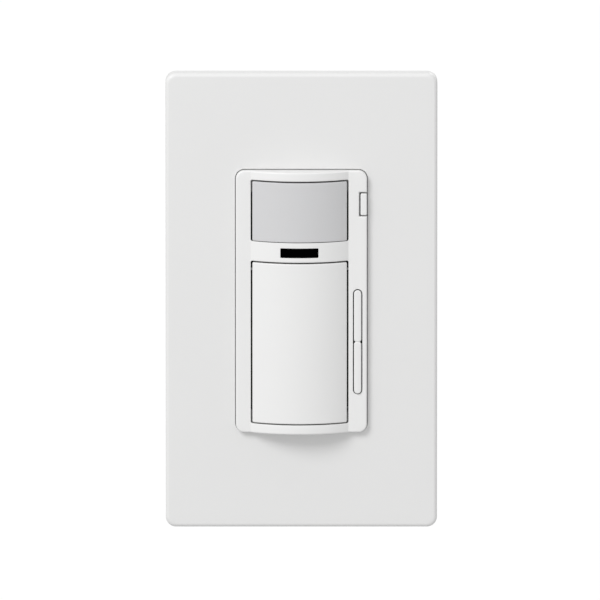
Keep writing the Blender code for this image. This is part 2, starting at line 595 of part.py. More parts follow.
def choke():
    """A toroidal choke: the ring and, wound round it, one copper wire."""
    centre = Vector((-6.0 * MM, 18.8 * MM, 14.5 * MM))
    inner, outer, half_height = 4.3 * MM, 8.6 * MM, 3.3 * MM
    ring = cylinder("choke_core", (centre.x, centre.z), outer, centre.y - half_height,
                    centre.y + half_height, sides=24, look="ferrite")
    bore = cylinder("choke_bore", (centre.x, centre.z), inner, centre.y - 6 * MM, centre.y + 6 * MM,
                    sides=24)
    cut(ring, bore)
    wire, clearance, turns, sides = 0.45 * MM, 0.3 * MM, 12, 5
    middle = (inner + outer) / 2
    half_r = (outer - inner) / 2 + wire + clearance
    half_y = half_height + wire + clearance
    rings = []
    sweep = math.radians(300)
    corners = ((1, 1), (-1, 1), (-1, -1), (1, -1))
    count = turns * len(corners)
    for i in range(count + 1):
        side_r, side_y = corners[i % len(corners)]
        around = sweep * i / count - sweep / 2
        radial = Vector((math.cos(around), 0, math.sin(around)))
        point = centre + radial * (middle + side_r * half_r) + Vector((0, side_y * half_y, 0))
        outward = (radial * side_r + Vector((0, side_y, 0))).normalized()
        along = Vector((-math.sin(around), 0, math.cos(around)))
        rings.append([
            point + wire * (math.cos(s) * outward + math.sin(s) * along)
            for s in (math.tau * k / sides for k in range(sides))
        ])
    loft("choke_winding", rings, "copper")


def power_parts():
    """What stands on the power board's back: capacitors, surge disc and fuse."""
    seat = POWER_BACK + GAP
    film = box("film_capacitor", (5.0 * MM, 14.5 * MM), (seat, seat + 11.5 * MM), (15.0 * MM, 20.5 * MM),
               "cap_film")
    add(film, box("film_step", (5.5 * MM, 14.0 * MM), (seat + 11 * MM, seat + 11.8 * MM),
                  (15.4 * MM, 20.1 * MM)))
    profile = [(4.6 * MM, seat), (5.0 * MM, seat + 0.4 * MM), (5.0 * MM, seat + 1.2 * MM),
               (4.7 * MM, seat + 1.6 * MM), (5.0 * MM, seat + 2.0 * MM),
               (5.0 * MM, seat + 12.1 * MM), (4.5 * MM, seat + 12.5 * MM)]
    turned("electrolytic_capacitor", profile, (7.5 * MM, 3.0 * MM), "Y", 20, "cap_sleeve")
    disc_y = seat + 6.4 * MM
    disc = cylinder("surge_varistor", (disc_y, -9.0 * MM), 4.8 * MM, -11.0 * MM, -7.6 * MM, "X", 18,
                    "varistor_blue")
    for i, z in enumerate((-11.5 * MM, -6.5 * MM)):
        lead = cylinder(f"varistor_lead_{i}", (-9.3 * MM, z), 0.4 * MM, seat, disc_y - 2 * MM, "Y", 8)
        add(disc, lead)
    fuse = cylinder("line_fuse", (FUSE_X, seat + 2.8 * MM), 1.8 * MM, -19 * MM, -7 * MM, "Z", 12,
                    "clear_plastic")
    for i, z in enumerate((-17.9 * MM, -9.1 * MM)):
        clip = box(f"fuse_clip_{i}", grown((FUSE_X, FUSE_X), 1.3 * MM), (seat, seat + 2.8 * MM),
                   (z, z + 1.0 * MM))
        add(fuse, clip)


def power_transistor():
    """The transistor on the strap's back, with its pad and the rivet that clamps it."""
    middle_z = RIVET[1]
    back_of_pad = GAP + 0.35 * MM
    pad = box("transistor_insulator", (-9.1 * MM, 6.6 * MM), (GAP, back_of_pad),
              (middle_z - 5.2 * MM, middle_z + 5.2 * MM),
              "silicone_grey")
    cut(pad, cylinder("insulator_hole", RIVET, 1.7 * MM, -1 * MM, 3 * MM, sides=12))
    seat = back_of_pad + GAP
    tab = box("power_transistor", (-9.0 * MM, 0), (seat, seat + 1.3 * MM),
              (middle_z - 5 * MM, middle_z + 5 * MM),
              "dark_plastic")
    add(tab, box("transistor_case", (-3.0 * MM, 6.4 * MM), (seat + 0.05 * MM, seat + 4.4 * MM),
                 (middle_z - 4.9 * MM, middle_z + 4.9 * MM)))
    for i in (-1, 0, 1):
        z = middle_z + i * 2.54 * MM
        lead_y = seat + 2.4 * MM
        run = box(f"transistor_run_{i}", (5.5 * MM, 8.4 * MM), (lead_y, lead_y + 0.6 * MM),
                  (z - 0.4 * MM, z + 0.4 * MM))
        drop = box(f"transistor_drop_{i}", (7.7 * MM, 8.35 * MM), (lead_y + 0.1 * MM, POWER_FRONT - GAP),
                   (z - 0.38 * MM, z + 0.38 * MM))
        add(tab, run, drop)
    cut(tab, cylinder("transistor_hole", RIVET, 1.7 * MM, -1 * MM, 6 * MM, sides=12))
    under_head = -STRAP_THICK - 0.15 * MM
    tail = seat + 1.3 * MM + 0.15 * MM
    profile = [(1.8 * MM, under_head - 0.85 * MM), (2.4 * MM, under_head - 0.45 * MM),
               (2.4 * MM, under_head), (1.25 * MM, under_head),
               (1.25 * MM, tail), (2.1 * MM, tail), (2.0 * MM, tail + 0.5 * MM)]
    turned("transistor_rivet", profile, RIVET, "Y", 16, "zinc_steel")


# Rear housing

def rear_housing():
    """The deep cup in the wall box, with screw bosses, board posts and four terminal pockets."""
    half_w, half_h = HOUSING_WIDTH / 2, HOUSING_HEIGHT / 2
    corner, edge = 2.5 * MM, 1.2 * MM
    rings = []
    for inset, y in ((0, GAP), (0, HOUSING_BACK - edge), (edge * 0.3, HOUSING_BACK - edge * 0.3),
                     (edge, HOUSING_BACK)):
        outline = rounded_rect(half_w - inset, half_h - inset, corner - inset, 5)
        rings.append([(x, y, z) for x, z in outline])
    housing = loft("rear_housing", rings, "dark_plastic")
    inner = rounded_rect(half_w - HOUSING_WALL, half_h - HOUSING_WALL, 1.5 * MM, 2)
    floor = HOUSING_BACK - HOUSING_WALL
    cut(housing, prism("housing_hollow", inner, -1 * MM, floor))
    for side in (-1, 1):
        for sign in (-1, 1):
            where = (side * BOSS_X, sign * BOSS_Z)
            tag = f"{side}_{sign}"
            boss = cylinder(f"housing_boss_{tag}", where, 3.5 * MM, GAP + 0.01 * MM, floor + 0.5 * MM,
                            sides=16)
            trim = rounded_rect(half_w - 0.5 * MM, half_h - 0.5 * MM, 2 * MM, 3)
            keep(boss, prism(f"housing_boss_trim_{tag}", trim, -1 * MM, HOUSING_BACK))
            add(housing, boss)
            cut(housing, cylinder(f"housing_bore_{tag}", where, 1.5 * MM, -1 * MM, HOUSING_BACK + 1 * MM,
                                  sides=12))
            cut(housing, cylinder(f"housing_sink_{tag}", where, 2.85 * MM, HOUSING_BACK - 2.2 * MM,
                                  HOUSING_BACK + 1 * MM, sides=16))
            post_x = grown((side * 14.6 * MM, side * 14.6 * MM), 1.0 * MM)
            post_z = grown((sign * 23.5 * MM, sign * 23.5 * MM), 1.0 * MM)
            post_y = (POWER_BACK + GAP, floor + 0.5 * MM)
            add(housing, box(f"housing_post_{tag}", post_x, post_y, post_z))
    for side in (-1, 1):
        for sign in (-1, 1):
            terminal_pocket(housing, side, sign * TERMINAL_Z)
    for i in range(5):
        z = (i - 2) * 3.2 * MM
        slit = box(f"housing_vent_{i}", (-7 * MM, 7 * MM), (floor - 1 * MM, HOUSING_BACK + 1 * MM),
                   (z - 0.7 * MM, z + 0.7 * MM))
        cut(housing, slit)


def mirrored(span, side):
    """A span of x on the right side, or its mirror image on the left."""
    return tuple(sorted(side * value for value in span))


def terminal_pocket(housing, side, z):
    """A recess in the housing's side, with a thin floor that the terminal's screw and tail pass."""
    tag = f"{side}_{z / MM:.0f}"
    y = POCKET_Y
    wall_x = mirrored((POCKET_FLOOR - 1.2 * MM, HOUSING_WIDTH / 2 - 0.5 * MM), side)
    add(housing, box(f"pocket_wall_{tag}", wall_x, grown(y, 1.2 * MM), grown((z, z), 6.4 * MM)))
    cut(housing, box(f"pocket_{tag}", mirrored((POCKET_FLOOR, HOUSING_WIDTH / 2 + 2 * MM), side), y,
                     grown((z, z), 5.2 * MM)))
    through = mirrored((POCKET_FLOOR - 3 * MM, POCKET_FLOOR + 2 * MM), side)
    cut(housing, cylinder(f"pocket_bore_{tag}", (TERMINAL_SCREW_Y, z), 2.0 * MM, through[0], through[1],
                          "X", 12))
    cut(housing, box(f"pocket_slot_{tag}", through, (TAIL_Y - 0.3 * MM, TAIL_Y + 0.9 * MM),
                     grown((z, z), 1.8 * MM)))


def terminals():
    """Four clamp plates, each with a tail soldered to the power board and a wire screw."""
    names = {(1, 1): "line", (1, -1): "load", (-1, 1): "neutral", (-1, -1): "traveller"}
    for (side, sign), name in names.items():
        z = sign * TERMINAL_Z
        plate_x = (POCKET_FLOOR + GAP, POCKET_FLOOR + GAP + 0.8 * MM)
        plate = box(f"{name}_terminal", mirrored(plate_x, side), grown(POCKET_Y, -0.6 * MM),
                    grown((z, z), 4.4 * MM), "brass")
        tail = box(f"{name}_tail", mirrored((13.6 * MM, plate_x[0] + 0.4 * MM), side),
                   (TAIL_Y, TAIL_Y + 0.6 * MM),
                   grown((z, z), 1.5 * MM))
        add(plate, tail)
        bore_x = mirrored((POCKET_FLOOR - 1 * MM, POCKET_FLOOR + 3 * MM), side)
        cut(plate, cylinder(f"{name}_terminal_hole", (TERMINAL_SCREW_Y, z), 2.0 * MM, bore_x[0], bore_x[1],
                            "X", 12))
        seat = plate_x[1] + GAP
        profile = [(1.7 * MM, 13.0 * MM), (1.7 * MM, seat), (3.1 * MM, seat), (3.1 * MM, seat + 1.2 * MM),
                   (2.5 * MM, seat + 1.6 * MM)]
        look = "zinc_steel" if name == "neutral" else "brass"
        screw = turned(f"{name}_terminal_screw", [(r, side * x) for r, x in profile],
                       (TERMINAL_SCREW_Y, z), "X", 16, look)
        slot = box(f"{name}_screw_slot", mirrored((seat + 0.8 * MM, seat + 3 * MM), side),
                   grown((TERMINAL_SCREW_Y, TERMINAL_SCREW_Y), 5 * MM), grown((z, z), 0.45 * MM))
        cut(screw, slot)


def housing_screws():
    """Four long screws from the housing's back into the bezel's bosses."""
    for name, side, sign in (("1", -1, 1), ("2", 1, 1), ("3", 1, -1), ("4", -1, -1)):
        x, z = side * BOSS_X, sign * BOSS_Z
        seat = HOUSING_BACK - 2.2 * MM - GAP + 0.4 * MM
        profile = [(1.2 * MM, -4.7 * MM), (1.2 * MM, seat), (2.6 * MM, seat), (2.6 * MM, seat + 1.0 * MM),
                   (2.0 * MM, seat + 1.6 * MM)]
        screw = turned(f"housing_screw_{name}", profile, (x, z), "Y", 14, "zinc_steel")
        for i, (half_x, half_z) in enumerate(((1.5 * MM, 0.35 * MM), (0.35 * MM, 1.5 * MM))):
            bar = box(f"housing_screw_{name}_bar_{i}", (x - half_x, x + half_x),
                      (seat + 0.6 * MM, seat + 4 * MM),
                      (z - half_z, z + half_z))
            cut(screw, bar)


def build():
    for obj in list(bpy.data.objects):
        bpy.data.objects.remove(obj)
    wallplate_cover()
    wallplate_subplate()
    plate_screws()
    mounting_strap()
    box_screws()
    ground_screw()
    front_bezel()
    sensor_lens()
    indicator()
    motion_sensor()
    push_pad()
    push_button_switch("pad", PAD_SWITCH, (3.0 * MM, 3.0 * MM, -8.0 * MM), 1.65 * MM, -8.9 * MM)
    dimmer_rocker()
    small_body = (0.95 * MM, 2.1 * MM, -5.7 * MM)
    for name, sign in (("raise", 1), ("lower", -1)):
        centre = (13.9 * MM, ROCKER_Z + sign * FOOT_REACH)
        push_button_switch(name, centre, small_body, 0.6 * MM, -6.35 * MM)
    air_gap_switch()
    boards()
    board_header()
    choke()
    power_parts()
    power_transistor()
    rear_housing()
    terminals()
    housing_screws()


build()
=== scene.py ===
import json
import math

import bmesh
import bpy
from mathutils import Matrix, Vector
from mathutils.geometry import delaunay_2d_cdt


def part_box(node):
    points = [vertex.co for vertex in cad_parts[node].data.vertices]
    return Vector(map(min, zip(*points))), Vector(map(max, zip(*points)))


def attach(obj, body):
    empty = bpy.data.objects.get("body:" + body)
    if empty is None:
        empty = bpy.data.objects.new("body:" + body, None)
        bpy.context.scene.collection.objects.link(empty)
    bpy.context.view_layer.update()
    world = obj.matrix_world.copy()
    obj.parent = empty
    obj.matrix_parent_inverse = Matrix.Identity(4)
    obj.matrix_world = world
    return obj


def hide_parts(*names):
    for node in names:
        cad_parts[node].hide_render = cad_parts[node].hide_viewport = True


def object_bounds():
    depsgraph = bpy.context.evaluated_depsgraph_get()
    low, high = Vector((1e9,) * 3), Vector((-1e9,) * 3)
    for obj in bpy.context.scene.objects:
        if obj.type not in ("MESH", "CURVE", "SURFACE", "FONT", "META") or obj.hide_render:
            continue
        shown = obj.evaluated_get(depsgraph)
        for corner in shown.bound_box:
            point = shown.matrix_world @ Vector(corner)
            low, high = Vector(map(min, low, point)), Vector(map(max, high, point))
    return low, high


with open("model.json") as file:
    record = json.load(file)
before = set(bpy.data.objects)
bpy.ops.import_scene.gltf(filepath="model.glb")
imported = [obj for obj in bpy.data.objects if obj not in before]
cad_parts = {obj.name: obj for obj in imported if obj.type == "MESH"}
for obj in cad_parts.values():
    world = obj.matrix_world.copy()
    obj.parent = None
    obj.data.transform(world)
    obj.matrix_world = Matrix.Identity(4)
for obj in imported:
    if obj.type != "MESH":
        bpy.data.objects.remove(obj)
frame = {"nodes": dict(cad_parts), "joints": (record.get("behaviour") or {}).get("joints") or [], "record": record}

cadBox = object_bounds()
mm = 0.001
nodes = frame["nodes"]
bodyOf = {node: body for body, members in frame["record"]["behaviour"]["bodies"].items() for node in members}
slotOf = {part["node"]: part["material_slot"] for part in frame["record"]["subparts"]}
shown = set()  # CAD nodes that a finer piece already stands for


# Shader groups

def addNode(tree, kind, inputs=None, **settings):
    node = tree.nodes.new(kind)
    for key, value in settings.items():
        setattr(node, key, value)
    for key, value in (inputs or {}).items():
        if isinstance(value, bpy.types.NodeSocket):
            tree.links.new(value, node.inputs[key])
        else:
            node.inputs[key].default_value = value
    return node


def newGroup(name, takes, gives):
    group = bpy.data.node_groups.new(name, "ShaderNodeTree")
    kinds = {"number": "NodeSocketFloat", "colour": "NodeSocketColor", "vector": "NodeSocketVector"}
    for label, (kind, value) in takes.items():
        socket = group.interface.new_socket(label, in_out="INPUT", socket_type=kinds[kind])
        socket.default_value = value
    for label, kind in gives.items():
        group.interface.new_socket(label, in_out="OUTPUT", socket_type=kinds[kind])
    return group, group.nodes.new("NodeGroupInput").outputs, group.nodes.new("NodeGroupOutput").inputs


def mathNode(tree, operation, *values, clamp=False):
    inputs = dict(enumerate(values))
    return addNode(tree, "ShaderNodeMath", inputs, operation=operation, use_clamp=clamp).outputs[0]


def noiseNode(tree, place, scale, detail=3.0, roughness=0.5):
    values = {"Vector": place, "Scale": scale, "Detail": detail, "Roughness": roughness}
    return addNode(tree, "ShaderNodeTexNoise", values).outputs["Fac"]


def mixColour(tree, mask, first, second, blend="MIX"):
    node = addNode(tree, "ShaderNodeMix", data_type="RGBA", blend_type=blend)
    for socket, value in zip((node.inputs[0], node.inputs[6], node.inputs[7]), (mask, first, second)):
        if isinstance(value, bpy.types.NodeSocket):
            tree.links.new(value, socket)
        else:
            socket.default_value = value
    return node.outputs[2]


def spread(tree, value, low, high, newLow, newHigh):
    values = {"Value": value, "From Min": low, "From Max": high, "To Min": newLow, "To Max": newHigh}
    return addNode(tree, "ShaderNodeMapRange", values).outputs["Result"]


def mouldedSkin():  # the spark texture, mottle and faint sink waves of moulded plastic
    takes = {"Colour": ("colour", (0.8, 0.8, 0.8, 1)), "Roughness": ("number", 0.4),
             "Grain Scale": ("number", 5000.0), "Mottle": ("number", 0.03)}
    group, given, out = newGroup("mouldedSkin", takes, {"Colour": "colour", "Roughness": "number",
                                                        "Relief": "number"})
    place = addNode(group, "ShaderNodeTexCoord").outputs["Object"]
    grain = noiseNode(group, place, given["Grain Scale"], 4.0, 0.6)
    patches = noiseNode(group, place, 55.0, 3.0, 0.55)
    waves = noiseNode(group, place, 140.0, 1.0, 0.4)
    handled = noiseNode(group, place, 320.0, 5.0, 0.7)
    shade = mathNode(group, "MULTIPLY_ADD", mathNode(group, "SUBTRACT", patches, 0.5), given["Mottle"], 1.0)
    shade = mathNode(group, "MULTIPLY_ADD", mathNode(group, "SUBTRACT", grain, 0.5), given["Mottle"], shade)
    grey = addNode(group, "ShaderNodeCombineColor", {0: shade, 1: shade, 2: shade}).outputs[0]
    group.links.new(mixColour(group, 1.0, given["Colour"], grey, "MULTIPLY"), out["Colour"])
    rubbed = spread(group, handled, 0.35, 0.7, -0.05, 0.07)
    group.links.new(mathNode(group, "ADD", given["Roughness"], rubbed, clamp=True), out["Roughness"])
    relief = mathNode(group, "MULTIPLY_ADD", waves, 2.2, grain)
    group.links.new(relief, out["Relief"])
    return group


def edgeWear():  # lighter or barer where an edge stands out
    takes = {"Amount": ("number", 0.5), "Break Up": ("number", 900.0)}
    group, given, out = newGroup("edgeWear", takes, {"Mask": "number"})
    place = addNode(group, "ShaderNodeTexCoord").outputs["Object"]
    point = addNode(group, "ShaderNodeNewGeometry").outputs["Pointiness"]
    edge = spread(group, point, 0.51, 0.6, 0.0, 1.0)
    broken = spread(group, noiseNode(group, place, given["Break Up"], 4.0, 0.65), 0.4, 0.62, 0.0, 1.0)
    mask = mathNode(group, "MULTIPLY", mathNode(group, "MULTIPLY", edge, broken), given["Amount"], clamp=True)
    group.links.new(mask, out["Mask"])
    return group


def settledDust():  # a thin film on what faces up
    takes = {"Amount": ("number", 0.15)}
    group, given, out = newGroup("settledDust", takes, {"Mask": "number"})
    geometry = addNode(group, "ShaderNodeNewGeometry").outputs
    up = addNode(group, "ShaderNodeSeparateXYZ", {0: geometry["Normal"]}).outputs["Z"]
    place = addNode(group, "ShaderNodeTexCoord").outputs["Object"]
    facing = spread(group, up, 0.3, 1.0, 0.0, 1.0)
    speckle = spread(group, noiseNode(group, place, 2600.0, 5.0, 0.7), 0.4, 0.75, 0.2, 1.0)
    mask = mathNode(group, "MULTIPLY", facing, speckle)
    group.links.new(mathNode(group, "MULTIPLY", mask, given["Amount"], clamp=True), out["Mask"])
    return group


def rolledMetal():  # mill streaks along one axis, stains and plating bloom
    takes = {"Colour": ("colour", (0.6, 0.6, 0.6, 1)), "Roughness": ("number", 0.3),
             "Stretch": ("vector", (300.0, 300.0, 6000.0)), "Stain": ("number", 0.25)}
    group, given, out = newGroup("rolledMetal", takes, {"Colour": "colour", "Roughness": "number",
                                                        "Relief": "number"})
    place = addNode(group, "ShaderNodeTexCoord").outputs["Object"]
    pulled = addNode(group, "ShaderNodeVectorMath", {0: place, 1: given["Stretch"]},
                     operation="MULTIPLY").outputs[0]
    streaks = noiseNode(group, pulled, 1.0, 5.0, 0.6)
    bloom = noiseNode(group, place, 420.0, 4.0, 0.6)
    cells = addNode(group, "ShaderNodeTexVoronoi", {"Vector": place, "Scale": 900.0}).outputs["Color"]
    spangle = addNode(group, "ShaderNodeSeparateColor", {0: cells}).outputs[0]
    stain = mathNode(group, "MULTIPLY", spread(group, bloom, 0.42, 0.75, 0.0, 1.0), given["Stain"])
    tone = mathNode(group, "MULTIPLY_ADD", spangle, 0.10, 0.92)
    grey = addNode(group, "ShaderNodeCombineColor", {0: tone, 1: tone, 2: tone}).outputs[0]
    colour = mixColour(group, 1.0, given["Colour"], grey, "MULTIPLY")
    group.links.new(mixColour(group, stain, colour, (0.30, 0.29, 0.26, 1)), out["Colour"])
    rough = mathNode(group, "MULTIPLY_ADD", stain, 0.5, given["Roughness"])
    rough = mathNode(group, "MULTIPLY_ADD", mathNode(group, "SUBTRACT", streaks, 0.5), 0.22, rough, clamp=True)
    group.links.new(rough, out["Roughness"])
    group.links.new(mathNode(group, "MULTIPLY_ADD", streaks, 1.0, mathNode(group, "MULTIPLY", bloom, 0.6)),
                    out["Relief"])
    return group


skinGroup, wearGroup, dustGroup, metalGroup = mouldedSkin(), edgeWear(), settledDust(), rolledMetal()
print("shader groups made")


# Finishes

def useGroup(tree, group, **values):
    return addNode(tree, "ShaderNodeGroup", {k.replace("_", " "): v for k, v in values.items()},
                   node_tree=group)


def reliefNode(tree, height, strength, distance):
    values = {"Height": height, "Strength": strength, "Distance": distance}
    return addNode(tree, "ShaderNodeBump", values).outputs["Normal"]


def plastic(name, look):
    material = bpy.data.materials.new(name)
    material.use_nodes = True
    tree = material.node_tree
    shader = tree.nodes["Principled BSDF"]
    skin = useGroup(tree, skinGroup, Colour=(*look["colour"], 1), Roughness=look["roughness"],
                    Grain_Scale=look["grain"], Mottle=look["mottle"]).outputs
    colour = skin["Colour"]
    if look["wear"]:
        wear = useGroup(tree, wearGroup, Amount=look["wear"]).outputs["Mask"]
        colour = mixColour(tree, wear, colour, (*look["wornColour"], 1))
    dust = useGroup(tree, dustGroup, Amount=look["dust"]).outputs["Mask"]
    colour = mixColour(tree, dust, colour, (0.55, 0.52, 0.47, 1))
    tree.links.new(colour, shader.inputs["Base Color"])
    rough = mathNode(tree, "MULTIPLY_ADD", dust, 0.4, skin["Roughness"], clamp=True)
    tree.links.new(rough, shader.inputs["Roughness"])
    tree.links.new(reliefNode(tree, skin["Relief"], look["relief"], 0.00004), shader.inputs["Normal"])
    shader.inputs["IOR"].default_value = look.get("ior", 1.5)
    shader.inputs["Specular IOR Level"].default_value = look.get("shine", 0.5)
    if "milk" in look:
        shader.inputs["Subsurface Weight"].default_value = look["milk"]
        shader.inputs["Subsurface Radius"].default_value = (1.0, 0.9, 0.8)
        shader.inputs["Subsurface Scale"].default_value = 0.0012
    if "clear" in look:
        shader.inputs["Transmission Weight"].default_value = look["clear"]
    return material


def metal(name, look):
    material = bpy.data.materials.new(name)
    material.use_nodes = True
    tree = material.node_tree
    shader = tree.nodes["Principled BSDF"]
    skin = useGroup(tree, metalGroup, Colour=(*look["colour"], 1), Roughness=look["roughness"],
                    Stretch=look["stretch"], Stain=look["stain"]).outputs
    wear = useGroup(tree, wearGroup, Amount=look["wear"]).outputs["Mask"]
    dust = useGroup(tree, dustGroup, Amount=look["dust"]).outputs["Mask"]
    colour = mixColour(tree, wear, skin["Colour"], (*look["wornColour"], 1))
    tree.links.new(mixColour(tree, dust, colour, (0.5, 0.47, 0.42, 1)), shader.inputs["Base Color"])
    rough = mathNode(tree, "MULTIPLY_ADD", dust, 0.4, skin["Roughness"], clamp=True)
    tree.links.new(rough, shader.inputs["Roughness"])
    shader.inputs["Metallic"].default_value = look["metallic"]
    tree.links.new(reliefNode(tree, skin["Relief"], look["relief"], 0.00004), shader.inputs["Normal"])
    return material


whiteBase = {"roughness": 0.40, "grain": 5200.0, "mottle": 0.018, "relief": 0.10, "wear": 0.0, "dust": 0.04,
             "shine": 0.4}
darkBase = {"roughness": 0.52, "grain": 2600.0, "mottle": 0.30, "relief": 0.45, "wear": 0.45,
            "wornColour": (0.16, 0.16, 0.165), "dust": 0.35}
partBase = {"roughness": 0.34, "grain": 3000.0, "mottle": 0.10, "relief": 0.2, "wear": 0.3,
            "wornColour": (0.5, 0.5, 0.5), "dust": 0.2}
steelBase = {"roughness": 0.30, "stretch": (5000.0, 300.0, 260.0), "stain": 0.30, "wear": 0.5,
             "wornColour": (0.80, 0.80, 0.80), "dust": 0.12, "metallic": 1.0, "relief": 0.25}

finishes = {
    "plateWhite": plastic("plateWhite", {**whiteBase, "colour": (0.79, 0.79, 0.787)}),
    "bezelWhite": plastic("bezelWhite", {**whiteBase, "colour": (0.83, 0.83, 0.826), "roughness": 0.36}),
    "padWhite": plastic("padWhite", {**whiteBase, "colour": (0.825, 0.825, 0.821), "roughness": 0.34}),
    "lensMilk": plastic("lensMilk", {**whiteBase, "colour": (0.63, 0.63, 0.638), "roughness": 0.46,
                                     "milk": 0.12,
                                     "mottle": 0.03, "grain": 3600.0}),
    "smokedBar": plastic("smokedBar", {**whiteBase, "colour": (0.0006, 0.0006, 0.0006), "roughness": 0.35,
                                       "shine": 0.0,
                                       "dust": 0.0, "relief": 0.04}),
    "blackNylon": plastic("blackNylon", {**darkBase, "colour": (0.035, 0.035, 0.038)}),
    "clearMould": plastic("clearMould", {**partBase, "colour": (0.85, 0.88, 0.88), "roughness": 0.08,
                                         "clear": 0.85,
                                         "relief": 0.05, "dust": 0.05}),
    "filmCapRed": plastic("filmCapRed", {**partBase, "colour": (0.48, 0.05, 0.03),
                                         "wornColour": (0.6, 0.25, 0.2)}),
    "sleeveBlue": plastic("sleeveBlue", {**partBase, "colour": (0.035, 0.045, 0.16),
                                         "wornColour": (0.2, 0.2, 0.3)}),
    "varistorBlue": plastic("varistorBlue", {**partBase, "colour": (0.04, 0.16, 0.42), "relief": 0.5,
                                             "wornColour": (0.2, 0.35, 0.6)}),
    "corePaint": plastic("corePaint", {**partBase, "colour": (0.62, 0.46, 0.06), "roughness": 0.55,
                                       "relief": 0.8,
                                       "wornColour": (0.25, 0.22, 0.18)}),
    "maskGreen": plastic("maskGreen", {**partBase, "colour": (0.015, 0.14, 0.05), "roughness": 0.28,
                                       "relief": 0.3,
                                       "wornColour": (0.3, 0.35, 0.2)}),
    "housingNylon": plastic("housingNylon", {**darkBase, "colour": (0.030, 0.030, 0.033), "wear": 0.0,
                                             "mottle": 0.22}),
    # painted shade: a near-black finish on the control board and rocker pin, so the gaps and the rocker's nicks in
    # front of them read dark
    "maskDark": plastic("maskDark", {**partBase, "colour": (0.006, 0.009, 0.007), "roughness": 0.5,
                                     "relief": 0.3,
                                     "wornColour": (0.05, 0.06, 0.05), "dust": 0.02, "shine": 0.1}),
    "fibreCard": plastic("fibreCard", {**partBase, "colour": (0.42, 0.27, 0.15), "roughness": 0.8,
                                       "mottle": 0.5,
                                       "grain": 1600.0, "relief": 1.0, "wornColour": (0.55, 0.42, 0.3)}),
    "thermalGrey": plastic("thermalGrey", {**partBase, "colour": (0.36, 0.37, 0.39), "roughness": 0.72,
                                           "wornColour": (0.5, 0.5, 0.5)}),
    "zincPlate": metal("zincPlate", {**steelBase, "colour": (0.60, 0.61, 0.63)}),
    "screwZinc": metal("screwZinc", {**steelBase, "colour": (0.64, 0.65, 0.66),
                                     "stretch": (900.0, 900.0, 900.0)}),
    "groundGreen": metal("groundGreen", {**steelBase, "colour": (0.03, 0.26, 0.09), "metallic": 0.7,
                                         "wornColour": (0.5, 0.55, 0.5)}),
    "stampedBrass": metal("stampedBrass", {**steelBase, "colour": (0.78, 0.56, 0.22), "stain": 0.4,
                                           "wornColour": (0.9, 0.75, 0.45)}),
    "bareCopper": metal("bareCopper", {**steelBase, "colour": (0.78, 0.36, 0.17), "roughness": 0.26,
                                       "stretch": (700.0, 700.0, 700.0), "wornColour": (0.9, 0.55, 0.35)}),
}
print("finishes made:", len(finishes))


# Outlines, as (x, z) points that run anticlockwise

def roundedPath(corners, spacing, steps=6):
    # corners are (x, z, radius); long straight runs are divided every spacing
    bent = []
    count = len(corners)
    for i, (x, z, radius) in enumerate(corners):
        point = Vector((x, z))
        before = (point - Vector(corners[i - 1][:2])).normalized()
        after = (Vector(corners[(i + 1) % count][:2]) - point).normalized()
        turn = math.atan2(before.x * after.y - before.y * after.x, before.dot(after))
        if radius <= 0:
            bent.append(point)
            continue
        start = point - before * radius * math.tan(abs(turn) / 2)
        side = math.copysign(1, turn)
        centre = start + Vector((-before.y, before.x)) * radius * side
        for k in range(steps + 1):
            bent.append(centre + Matrix.Rotation(turn * k / steps, 2) @ (start - centre))
    loop = []
    for i, point in enumerate(bent):
        step = bent[(i + 1) % len(bent)] - point
        parts = max(1, math.ceil(step.length / spacing - 0.01))
        if step.length > 0.02 * mm:
            loop += [tuple(point + step * k / parts) for k in range(parts)]
    return loop


def rectPath(x, z, radius, spacing, steps=6):
    corners = [(x[0], z[0], radius), (x[1], z[0], radius), (x[1], z[1], radius), (x[0], z[1], radius)]
    return roundedPath(corners, spacing, steps)


def offsetLoop(loop, inset):  # a positive inset moves every side inwards
    moved = []
    for i, here in enumerate(loop):
        x, z = here
        before = (Vector(here) - Vector(loop[i - 1])).normalized()
        after = (Vector(loop[(i + 1) % len(loop)]) - Vector(here)).normalized()
        a, b = Vector((-before.y, before.x)), Vector((-after.y, after.x))
        push = (a + b) * inset / max(0.3, 1 + a.dot(b))
        moved.append((x + push.x, z + push.y))
    return moved


def pointsAt(loop, places):  # adds a point wherever a side of the loop crosses one of these x
    added = []
    for here, after in zip(loop, loop[1:] + loop[:1]):
        added.append(here)
        for x in places:
            if min(here[0], after[0]) + 1e-6 < x < max(here[0], after[0]) - 1e-6:
                share = (x - here[0]) / (after[0] - here[0])
                added.append((x, here[1] + (after[1] - here[1]) * share))
    return added


def shrunk(span, by):
    return span[0] + by, span[1] - by


def inLoop(loop, x, z):
    inside = False
    for (ax, az), (bx, bz) in zip(loop, loop[1:] + loop[:1]):
        if (az > z) != (bz > z) and x < (bx - ax) * (z - az) / (bz - az) + ax:
            inside = not inside
    return inside


# Shapes

